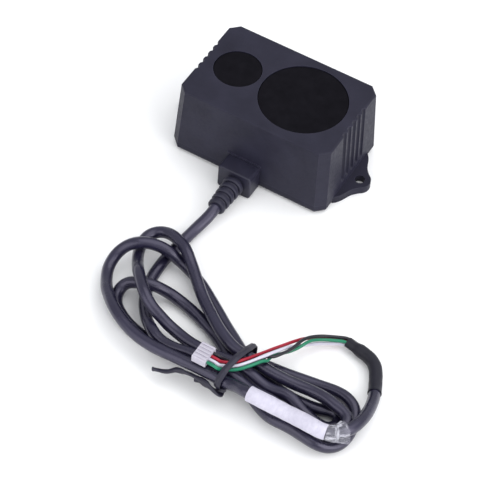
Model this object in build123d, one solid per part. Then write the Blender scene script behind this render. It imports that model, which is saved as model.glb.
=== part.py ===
from build123d import *
import math
import os

# Single-point optical ranging module with a captive, coiled four-wire lead.
# Frame: X along the long side of the housing, Y across it (the lead leaves on -Y),
# Z up through the optical face. Origin: centre of the rear mounting face, so that
# face and both mounting ears lie on z = 0. All sizes in millimetres.

SIDES = (-1, 1)

# ---------------------------------------------------------------- shared dimensions
# housing
body_length = 53.0       # X, at the optical face
body_width = 34.5        # Y, at the optical face
body_height = 26.0
draft = 1.25             # each side is this much further out at z = 0
corner_chamfer = 2.8     # on the four upright corners
wall = 1.8
optical_wall = 2.4
cavity_top = body_height - optical_wall
split_z = 3.5            # parting plane between the cover and the housing
wall_y = -body_width / 2            # nominal outside of the lead's wall
inner_wall_y = wall_y + wall

# optical axes (x, y) and window seats
receiver = (8.5, 0.2)
emitter = (-15.0, 0.3)
receiver_seat_r, receiver_aperture_r = 14.25, 12.9
emitter_seat_r, emitter_aperture_r = 7.75, 6.5
window_seat_z = 24.3
window_t = 1.2
window_seal_t = 0.2
window_z = window_seat_z + window_seal_t

# cover screws
cover_screw_spots = [(sx * 21.8, sy * 12.5) for sx in SIDES for sy in SIDES]
cover_screw_head_z = 1.6            # underside of the head
cover_screw_head_r, cover_screw_head_h = 2.3, 1.5
cover_screw_shank_r, cover_screw_length = 1.10, 9.4
boss_r = 2.7
boss_inset = 0.9         # bosses and pads reach this far into the outline

# gasket between cover and housing
gasket_inset, gasket_width, gasket_depth = 0.45, 0.9, 0.8

# main board and its two posts
board_z = 5.2            # rear side
board_t = 1.2
board_top = board_z + board_t
board_length, board_width = 46.6, 29.4
post_spots = [(-8.3, sy * 12.3) for sy in SIDES]

# lead, its entry and the ribbed boot
entry_x, entry_z = -0.3, 4.6        # axis of the lead at the entry
notch_half = 4.3                    # half width of the notch in the wall
gland_width, gland_height = 10.4, 9.0
gland_extra = 1.2                   # extra width of the block on -X
gland_y0, gland_y1 = -17.3, -24.25  # inner and outer ends of the block
rib_pitch, rib_gap, rib_count = 2.39, 0.75, 5
first_rib_r, last_rib_r = 3.45, 2.85
cable_r = 1.85
cable_bore_r = cable_r + 0.05
stub_inner_y = -13.2                # where the jacket ends inside the housing
wire_r = 0.5
contact_pitch = 1.25


# ------------------------------------------------------------------- helpers
def box(x0, x1, y0, y1, z0, z1):
    # box between two opposite corners; the ends of an axis may come in either order
    middle = Pos((x0 + x1) / 2, (y0 + y1) / 2, (z0 + z1) / 2)
    return middle * Box(abs(x1 - x0), abs(y1 - y0), z1 - z0)


def block(at, size_x, size_y, z0, z1):
    # box centred on at = (x, y)
    return Pos(*at, (z0 + z1) / 2) * Box(size_x, size_y, z1 - z0)


def cyl(at, z0, z1, r):
    return Pos(*at, (z0 + z1) / 2) * Cylinder(r, z1 - z0)


def tube(at, z0, z1, r_out, r_in):
    return cyl(at, z0, z1, r_out) - cyl(at, z0 - 1, z1 + 1, r_in)


def cone(at, z0, z1, r0, r1):
    return Pos(*at, (z0 + z1) / 2) * Cone(r0, r1, z1 - z0)


def entry_cyl(y0, y1, r):
    # cylinder on the lead's axis, y0 < y1
    return Pos(entry_x, (y0 + y1) / 2, entry_z) * Rot(90, 0, 0) * Cylinder(r, y1 - y0)


def prism(inset, z0, z1):
    # upright housing outline moved inwards by inset, corner chamfers kept parallel
    outline = Rectangle(body_length - 2 * inset, body_width - 2 * inset)
    outline = chamfer(outline.vertices(), corner_chamfer - (2 - math.sqrt(2)) * inset)
    return Pos(0, 0, z0) * extrude(outline, z1 - z0)


def side_x(z):
    return body_length / 2 + draft * (1 - z / body_height)


def side_y(z):
    return body_width / 2 + draft * (1 - z / body_height)


def drafted(z0, z1, out=0.0):
    # drafted outer form between two heights, moved outwards by out
    c = corner_chamfer
    loops = []
    for z in (z0, z1):
        x, y = side_x(z) + out, side_y(z) + out
        loops.append([(x, c - y, z), (x, y - c, z), (x - c, y, z), (c - x, y, z),
                      (-x, y - c, z), (-x, c - y, z), (c - x, -y, z), (x - c, -y, z)])
    low, high = loops
    faces = [low[::-1], high]
    for i in range(8):
        j = (i + 1) % 8
        faces.append([low[i], low[j], high[j], high[i]])
    return Solid(Shell([Face(Wire.make_polygon([Vector(*p) for p in loop], close=True))
                        for loop in faces]))


def edges_at_z(shape, z):
    return [e for e in shape.edges()
            if abs(e.bounding_box().min.Z - z) < 0.01 and abs(e.bounding_box().max.Z - z) < 0.01]


def one(shape):
    # the single solid a piece must consist of
    solids = shape.solids()
    assert len(solids) == 1, len(solids)
    return solids[0]


def entry_notch(z0, z1):
    # opening for the lead in the -Y wall
    return box(entry_x - notch_half, entry_x + notch_half, wall_y - 3, inner_wall_y + 0.5, z0, z1)


def screw(at, head_z, head_r, head_h, shank_r, length, recess_r):
    # pan head below head_z, shank upwards (+Z), cross recess in the head
    taper = 0.7
    shaft_z = head_z + length - taper
    body = cyl(at, head_z - head_h, head_z, head_r)
    body = fillet(edges_at_z(body, head_z - head_h), min(0.45, head_h * 0.4))
    body += cyl(at, head_z - 0.1, shaft_z, shank_r)
    body += cone(at, shaft_z, shaft_z + taper, shank_r, 0.5 * shank_r)
    for angle in (45, 135):
        body -= Pos(*at, head_z - head_h) * Rot(0, 0, angle) * Box(2 * recess_r, 0.5, 1.4)
    return one(body)


def rod_lengths(path, r, step, per_length=None):
    # round rod lofted through evenly spaced sections square to the path,
    # split into lengths of per_length sections when that is given
    count = max(4, round(path.length / step))
    per_length = per_length or count
    count = max(1, round(count / per_length)) * per_length
    sections = []
    for i in range(count + 1):
        along = path % (i / count)
        x_dir = Vector(0, 0, 1).cross(along)
        sections.append(Wire.make_circle(r, Plane(origin=path @ (i / count), x_dir=x_dir,
                                                  z_dir=along)))
    return [Solid.make_loft(sections[i:i + per_length + 1]) for i in range(0, count, per_length)]


def run(points, r_out, r_in=0.0, step=2.0):
    # round rod or tube along a smooth line through the points
    path = Spline(points)
    body = rod_lengths(path, r_out, step)[0]
    if r_in:
        body -= rod_lengths(path, r_in, step)[0]
    return body


# ------------------------------------------------------------- front housing
front_round = 0.7        # rounding of the optical edge
boss_top = 15.0
boss_web_t = 1.4
boss_web_reach = 3.2     # webs run this far outwards from the boss axis

# flutes on the two short sides
flute_count, flute_pitch = 5, 3.0
flute_shift_y = 0.4      # offset of the row towards +Y
flute_r = 1.0            # radius of the round-nosed cutter
flute_depth = 0.85
flute_edge = 0.18        # rounding of the ridges
flute_z0 = 4.6           # lower end; the flutes run out through the optical edge


def flute_cutter(side, y):
    # round-nosed cutter that follows the draft
    def centre(z):
        return Vector(side * (side_x(z) - flute_depth + flute_r), y, z)

    start, end = centre(flute_z0 + flute_r), centre(body_height + 1)
    shaft = Plane(origin=(start + end) / 2, z_dir=end - start)
    shaft = shaft * Cylinder(flute_r, (end - start).length)
    return shaft + Pos(start.X, start.Y, start.Z) * Sphere(flute_r)


def front_housing():
    shell = drafted(split_z, body_height)
    shell = fillet(edges_at_z(shell, body_height), front_round)
    shell -= prism(wall, split_z - 1, cavity_top)

    for side in SIDES:
        for i in range(flute_count):
            y = (i - (flute_count - 1) / 2) * flute_pitch + flute_shift_y
            shell -= flute_cutter(side, y)
    ridges = [e for e in shell.edges()
              if abs(abs(e.center().X) - side_x(e.center().Z)) < 0.01
              and abs(e.center().Y) < 10 and e.bounding_box().size.Z > 10]
    shell = fillet(ridges, flute_edge)

    # screw bosses, each tied to the corner by two webs
    for x, y in cover_screw_spots:
        sx, sy = math.copysign(1, x), math.copysign(1, y)
        half = boss_web_t / 2
        boss = cyl((x, y), split_z, boss_top, boss_r)
        web_x = box(x - sx * 0.9, x + sx * boss_web_reach, y - half, y + half,
                    split_z, boss_top)
        web_y = box(x - half, x + half, y, y + sy * boss_web_reach, split_z, boss_top)
        shell += (boss + web_x + web_y) & prism(boss_inset, split_z, boss_top)
        shell -= cyl((x, y), split_z - 1, split_z + 9.6, 1.15)

    # posts that carry the main board
    for spot in post_spots:
        shell += cyl(spot, board_top, cavity_top + 0.2, 2.4)
        shell -= cyl(spot, board_top - 1, board_top + 6.0, 0.85)

    # window seats, then apertures
    shell -= cyl(receiver, window_seat_z, body_height + 1, receiver_seat_r)
    shell -= cyl(emitter, window_seat_z, body_height + 1, emitter_seat_r)
    shell -= cyl(receiver, cavity_top - 1, window_seat_z + 1, receiver_aperture_r)
    shell -= cyl(emitter, cavity_top - 1, window_seat_z + 1, emitter_aperture_r)

    # drip lip over the lead entry, then the notch
    lip_z0, lip_z1 = 9.15, 9.75
    shell += box(entry_x - gland_width / 2 - gland_extra - 0.2, entry_x + gland_width / 2 + 0.2,
                 -side_y(lip_z1) - 0.35, wall_y + 0.4, lip_z0, lip_z1)
    shell -= entry_notch(split_z - 1, 7.95)
    return one(shell)


# ---------------------------------------------------------------- rear cover
rear_round = 2.0         # rounding of the rear edge
cover_floor = 2.0
ear_hole_x = 31.0        # 62 mm between the two holes
ear_hole_r = 1.65
ear_tip_r = 3.5          # 69 mm over both ears
ear_tip_angle = 55.0     # degrees, where the round tip meets the flank
ear_t = 2.8
ear_root_x = 23.5        # buried in the cover
# bell-shaped flank of an ear from the tip to the cover: x, y
ear_flank = [(31.9, 3.95), (31.0, 5.1), (30.0, 7.3), (29.1, 9.3), (27.5, 11.2)]


def ear(side):
    angle = math.radians(ear_tip_angle)
    sin, cos = math.sin(angle), math.cos(angle)
    tip_x, tip_y = ear_hole_x + ear_tip_r * cos, ear_tip_r * sin
    end_x, end_y = ear_flank[-1]
    flank = [(tip_x, tip_y)] + ear_flank
    upper = Spline([(side * x, y) for x, y in flank],
                   tangents=[(-sin * side, cos), (-0.80 * side, 0.60)])
    lower = Spline([(side * x, -y) for x, y in reversed(flank)],
                   tangents=[(0.80 * side, 0.60), (sin * side, cos)])
    tip = ThreePointArc((side * tip_x, -tip_y), (side * (ear_hole_x + ear_tip_r), 0),
                        (side * tip_x, tip_y))
    root = Polyline((side * end_x, end_y), (side * ear_root_x, end_y),
                    (side * ear_root_x, -end_y), (side * end_x, -end_y))
    plate = extrude(make_face(Wire([upper, *root.edges(), lower, tip])), ear_t)
    # the face may point down, depending on the outline's direction
    if plate.bounding_box().min.Z < -0.01:
        plate = Pos(0, 0, ear_t) * plate
    return plate


def rear_cover():
    cover = drafted(0, split_z)
    cover = fillet(edges_at_z(cover, 0), rear_round)
    cover -= prism(wall, cover_floor, split_z + 1)
    for side in SIDES:
        cover += ear(side)
    # screw pads inside, clearance holes, counterbores outside
    for spot in cover_screw_spots:
        cover += cyl(spot, 1.5, split_z, boss_r) & prism(boss_inset, 0, split_z)
        cover -= cyl(spot, -1, split_z + 1, 1.4)
        cover -= cyl(spot, -1, cover_screw_head_z, cover_screw_head_r + 0.2)
    # gasket groove
    groove_z = split_z - gasket_depth
    cover -= (prism(gasket_inset, groove_z, split_z + 1)
              - prism(gasket_inset + gasket_width, groove_z - 1, split_z + 2))
    # stiffening ribs inside
    for x in (-13.0, 13.0):
        cover += block((x, 0), 1.0, 31.2, 1.9, 2.7)
    cover -= entry_notch(2.0, split_z + 1)
    for side in SIDES:
        cover -= cyl((side * ear_hole_x, 0), -1, ear_t + 1, ear_hole_r)
    return one(cover)


def cover_gasket():
    # slightly narrower than its groove, open at the lead entry
    groove_z = split_z - gasket_depth
    gasket = (prism(gasket_inset + 0.02, groove_z + 0.01, split_z - 0.01)
              - prism(gasket_inset + gasket_width - 0.02, groove_z - 1, split_z + 1))
    half = notch_half + 0.02
    gasket -= box(entry_x - half, entry_x + half, wall_y - 1, inner_wall_y + 0.5, 0, split_z + 1)
    return one(gasket)


def cover_screws():
    return Compound(children=[
        screw(spot, cover_screw_head_z, cover_screw_head_r, cover_screw_head_h,
              cover_screw_shank_r, cover_screw_length, recess_r=1.25)
        for spot in cover_screw_spots])


# ------------------------------------------------------------------- windows
def window(at, seat_r):
    disc = cyl(at, window_z, window_z + window_t, seat_r - 0.05)
    return one(chamfer(edges_at_z(disc, window_z + window_t), 0.2))


def window_seal(at, seat_r, aperture_r):
    return one(tube(at, window_seat_z, window_z, seat_r - 0.1, aperture_r + 0.1))


def lens(at, seat_z, flange_r, flange_t, dome_r, dome_h, dome_base_r):
    # plano-convex lens with a flange, dome towards the window
    body = cyl(at, seat_z + 0.01, seat_z + flange_t, flange_r)
    ball = Pos(*at, seat_z + flange_t + dome_h - dome_r) * Sphere(dome_r)
    body += ball & cyl(at, seat_z + 0.5, seat_z + 8, dome_base_r)
    return one(body)


# ----------------------------------------------------------- receiver optics
barrel_z = board_top + 0.6          # underside of the barrel, on its foam gasket
receiver_lens_z = 18.4              # rear of the lens
receiver_flange_r, receiver_flange_t = 12.1, 1.4


def receiver_lens_barrel():
    neck_r, mouth_r = 7.2, 13.1
    neck_top, mouth_z = barrel_z + 4.0, receiver_lens_z - 1.6
    barrel = cyl(receiver, mouth_z, cavity_top - 0.05, mouth_r)
    barrel += cone(receiver, neck_top, mouth_z, neck_r, mouth_r)
    barrel += cyl(receiver, barrel_z, neck_top, neck_r)
    # lens seat, light cone, throat and filter pocket
    barrel -= cyl(receiver, receiver_lens_z, cavity_top + 1, 12.15)
    barrel -= cyl(receiver, receiver_lens_z - 1.0, receiver_lens_z + 1, 11.2)
    barrel -= cone(receiver, neck_top, receiver_lens_z - 1.0, 4.0, 11.0)
    barrel -= cyl(receiver, barrel_z + 1.0, barrel_z + 4.5, 3.6)
    barrel -= block(receiver, 9.2, 9.2, barrel_z - 1, barrel_z + 2.2)
    return one(barrel)


def receiver_lens():
    return lens(receiver, receiver_lens_z, receiver_flange_r, receiver_flange_t,
                dome_r=21.0, dome_h=3.1, dome_base_r=10.6)


def receiver_lens_ring():
    flange_top = receiver_lens_z + receiver_flange_t
    return one(tube(receiver, flange_top + 0.02, receiver_lens_z + receiver_flange_t + 1.6,
                    receiver_flange_r, 11.0))


def bandpass_filter():
    return one(block(receiver, 9.0, 9.0, barrel_z + 1.05, barrel_z + 2.15))


def barrel_foam_gasket():
    return one(tube(receiver, board_top, barrel_z, 7.0, 5.0))


def detector_chip():
    chip_body = block(receiver, 5.2, 5.2, board_top, board_top + 1.2)
    return one(fillet(chip_body.edges().filter_by(Axis.Z), 0.3))


# ------------------------------------------------------------ emitter optics
emitter_board_z, emitter_board_t = 9.4, 1.0
holder_z = emitter_board_z + emitter_board_t
emitter_lens_z = 18.6
emitter_flange_r, emitter_flange_t = 6.3, 1.2
thermal_pad_t = 1.0
header_at = (emitter[0], emitter[1] + 6.55)
header_pin_count, header_pitch = 7, 1.27


def emitter_lens_holder():
    holder = cyl(emitter, holder_z + 1.1, cavity_top - 0.05, 7.4)
    holder += block(emitter, 11.8, 11.8, holder_z, holder_z + 1.6)
    # lens seat, light cone and diode pocket
    holder -= cyl(emitter, emitter_lens_z, cavity_top + 1, 6.35)
    holder -= cyl(emitter, emitter_lens_z - 1.0, emitter_lens_z + 0.2, 5.6)
    holder -= cone(emitter, holder_z + 2.4, emitter_lens_z - 1.0, 2.6, 5.4)
    holder -= block(emitter, 5.2, 5.2, holder_z - 1, holder_z + 2.5)
    return one(holder)


def emitter_lens():
    return lens(emitter, emitter_lens_z, emitter_flange_r, emitter_flange_t,
                dome_r=9.2, dome_h=2.6, dome_base_r=5.5)


def emitter_lens_ring():
    flange_top = emitter_lens_z + emitter_flange_t
    return one(tube(emitter, flange_top + 0.02, flange_top + 1.4, emitter_flange_r, 5.6))


def emitter_board():
    plate = block(emitter, 14.4, 15.6, emitter_board_z, holder_z)
    return one(fillet(plate.edges().filter_by(Axis.Z), 0.8))


def emitter_diode():
    diode = block(emitter, 3.5, 3.5, holder_z, holder_z + 1.0)
    ball = Pos(*emitter, holder_z + 0.9) * Sphere(1.2)
    diode += ball & block(emitter, 4, 4, holder_z + 0.5, holder_z + 4)
    return one(diode)


def emitter_heat_spreader():
    plate = block(emitter, 12.8, 10.0, board_top + thermal_pad_t, emitter_board_z)
    return one(fillet(plate.edges().filter_by(Axis.Z), 0.8))


def thermal_pad():
    return one(block(emitter, 12.0, 9.2, board_top, board_top + thermal_pad_t))


def header_body():
    # header joining the two boards
    return one(block(header_at, 10.4, 2.1, board_top, emitter_board_z))


def header_pins():
    # pin ends above the emitter board
    x, y = header_at
    middle = (header_pin_count - 1) / 2
    return Compound(children=[
        one(block((x + (i - middle) * header_pitch, y), 0.4, 0.4, holder_z, holder_z + 0.9))
        for i in range(header_pin_count)])


def optical_baffle():
    # keeps stray light from crossing between emitter and receiver
    return one(block((-6.0, 0), 1.0, 18.4, board_top + 0.1, cavity_top - 0.1))


# ---------------------------------------------------------------- main board
# packages on the rear side: x, y, size X, size Y, height, chamfer
packages = {
    "processor_chip": (8.2, 5.6, 7.0, 7.0, 1.0, 0.15),
    "timing_chip": (9.0, -5.0, 5.0, 5.0, 0.9, 0.15),
    "regulator_chip": (17.6, 0.0, 3.0, 3.0, 1.1, 0.15),
    "power_inductor": (-12.6, 6.5, 4.2, 4.2, 2.0, 0.4),
    "clock_crystal": (1.4, 8.6, 3.2, 2.5, 0.8, 0.15),
}
capacitor_spots = [(2.2, 3.6), (2.2, 5.4), (13.6, -3.4), (13.6, -6.4),
                   (-9.0, -5.0), (-9.0, -7.0), (17.8, 4.2), (-17.6, 3.0)]
inner_plug_y = -7.6      # end of the inner plug that takes the leads


def main_board():
    half_x, half_y = board_length / 2, board_width / 2
    z0, z1 = board_z - 1, board_top + 1
    board = box(-half_x, half_x, -half_y, half_y, board_z, board_top)
    # corners cleared for the screw bosses
    for sx in SIDES:
        for sy in SIDES:
            board -= box(sx * (half_x - 5.2), sx * (half_x + 1),
                         sy * (half_y - 5.6), sy * (half_y + 1), z0, z1)
    for spot in post_spots:
        board -= cyl(spot, z0, z1, 1.1)
    # cut-out around the lead entry
    board -= box(entry_x - 5.7, entry_x + 5.7, -half_y - 1, -11.2, z0, z1)
    end_corners = board.edges().filter_by(Axis.Z).filter_by(
        lambda e: abs(abs(e.center().X) - half_x) < 0.1)
    return one(fillet(end_corners, 0.6))


def board_screws():
    return Compound(children=[
        screw(spot, board_z, head_r=1.75, head_h=1.1, shank_r=0.80, length=6.0, recess_r=0.9)
        for spot in post_spots])


def package(x, y, size_x, size_y, height, edge):
    # hangs below the rear side of the board, rear edges chamfered
    body = block((x, y), size_x, size_y, board_z - height, board_z)
    return one(chamfer(edges_at_z(body, board_z - height), edge))


def capacitors():
    return Compound(children=[package(x, y, 1.6, 0.8, 0.8, 0.1) for x, y in capacitor_spots])


def board_socket():
    # socket on the rear of the board, open towards -Y
    socket = box(entry_x - 4.2, entry_x + 4.2, -5.2, -1.0, board_z - 3.0, board_z)
    socket -= box(entry_x - 3.5, entry_x + 3.5, -6.0, -2.0, board_z - 2.5, board_z - 0.5)
    return one(socket)


def inner_plug():
    plug = box(entry_x - 3.4, entry_x + 3.4, inner_plug_y, -2.1, board_z - 2.4, board_z - 0.6)
    return one(fillet(plug.edges().filter_by(Axis.Y), 0.2))


# ---------------------------------------------------------------- lead entry and boot
# inner leads in plug order from -X: offset from the stub's axis in x and z
inner_leads = {
    "inner_lead_red": (-0.75, 0.55),
    "inner_lead_black": (-0.70, -0.75),
    "inner_lead_green": (0.70, -0.75),
    "inner_lead_white": (0.75, 0.55),
}
inner_lead_r = 0.42


def rib_end_y(number):
    # outer (-Y) end of a boot rib; ribs count from 1 at the housing
    return gland_y1 - rib_pitch * number


def rib_disc(number):
    r = first_rib_r + (last_rib_r - first_rib_r) * (number - 1) / (rib_count - 1)
    disc = entry_cyl(rib_end_y(number), rib_end_y(number - 1) - rib_gap, r)
    return fillet(disc.edges().filter_by(GeomType.CIRCLE), 0.5)


def cable_gland():
    # outer block, shaped to the drafted wall
    gland = box(entry_x - gland_width / 2 - gland_extra, entry_x + gland_width / 2,
                gland_y1, gland_y0, 0, gland_height)
    gland = fillet(gland.edges().filter_by(Axis.Y), 1.0)
    gland = fillet([e for e in gland.edges() if abs(e.center().Y - gland_y1) < 0.01
                    and e.bounding_box().size.Y < 0.01], 0.5)
    gland -= drafted(-1, gland_height + 1, 0.03)
    # tongue through the notch and flange inside the wall
    flange_y = inner_wall_y + 0.1
    half = notch_half - 0.1
    gland += box(entry_x - half, entry_x + half, gland_y0 - 2.0, flange_y, 2.1, 7.85)
    gland += box(entry_x - 5.4, entry_x + 5.4, flange_y, inner_wall_y + 1.5, 2.1, 8.9)
    # first boot rib and its neck, then the bore
    gland += rib_disc(1)
    gland += entry_cyl(gland_y1 - rib_gap - 0.3, gland_y1 + 0.5, 2.6)
    gland -= entry_cyl(rib_end_y(1) - 1, inner_wall_y + 3, cable_bore_r)
    return one(gland)


def cable_entry_stub():
    return one(entry_cyl(rib_end_y(1), stub_inner_y, cable_r))


def inner_lead(index, offset_x, offset_z):
    # from the end of the stub to its place in the inner plug
    plug_x = entry_x + (index - 1.5) * contact_pitch
    start = (entry_x + offset_x, stub_inner_y, entry_z + offset_z)
    end = (plug_x, inner_plug_y, board_z - 1.5)
    middle = (start[0] * 0.45 + plug_x * 0.55, -11.2, 4.0 + 0.5 * offset_z)
    path = Spline([start, middle, end], tangents=[(0, 1, 0), (0, 1, 0)])
    section = Plane(origin=start, z_dir=(0, 1, 0)) * Circle(inner_lead_r)
    return one(sweep(section, path=path))


# The gaps on both sides of the third rib stay open; necks bridge the first and last.
def boot_rib_2():
    neck = entry_cyl(rib_end_y(1) - rib_gap - 0.3, rib_end_y(1), 2.4)
    return one(rib_disc(2) + neck)


def boot_rib_3():
    return one(rib_disc(3))


def boot_rib_4():
    neck_y = rib_end_y(4) - rib_gap
    rib = rib_disc(4) + entry_cyl(neck_y, rib_end_y(4) + 0.3, 2.05)
    # shallow recess clear of the jacket's end
    return one(rib - entry_cyl(neck_y - 1, neck_y + 0.08, 1.95))


def boot_rib_5():
    return one(rib_disc(5) - entry_cyl(-50, 0, cable_bore_r))


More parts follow.
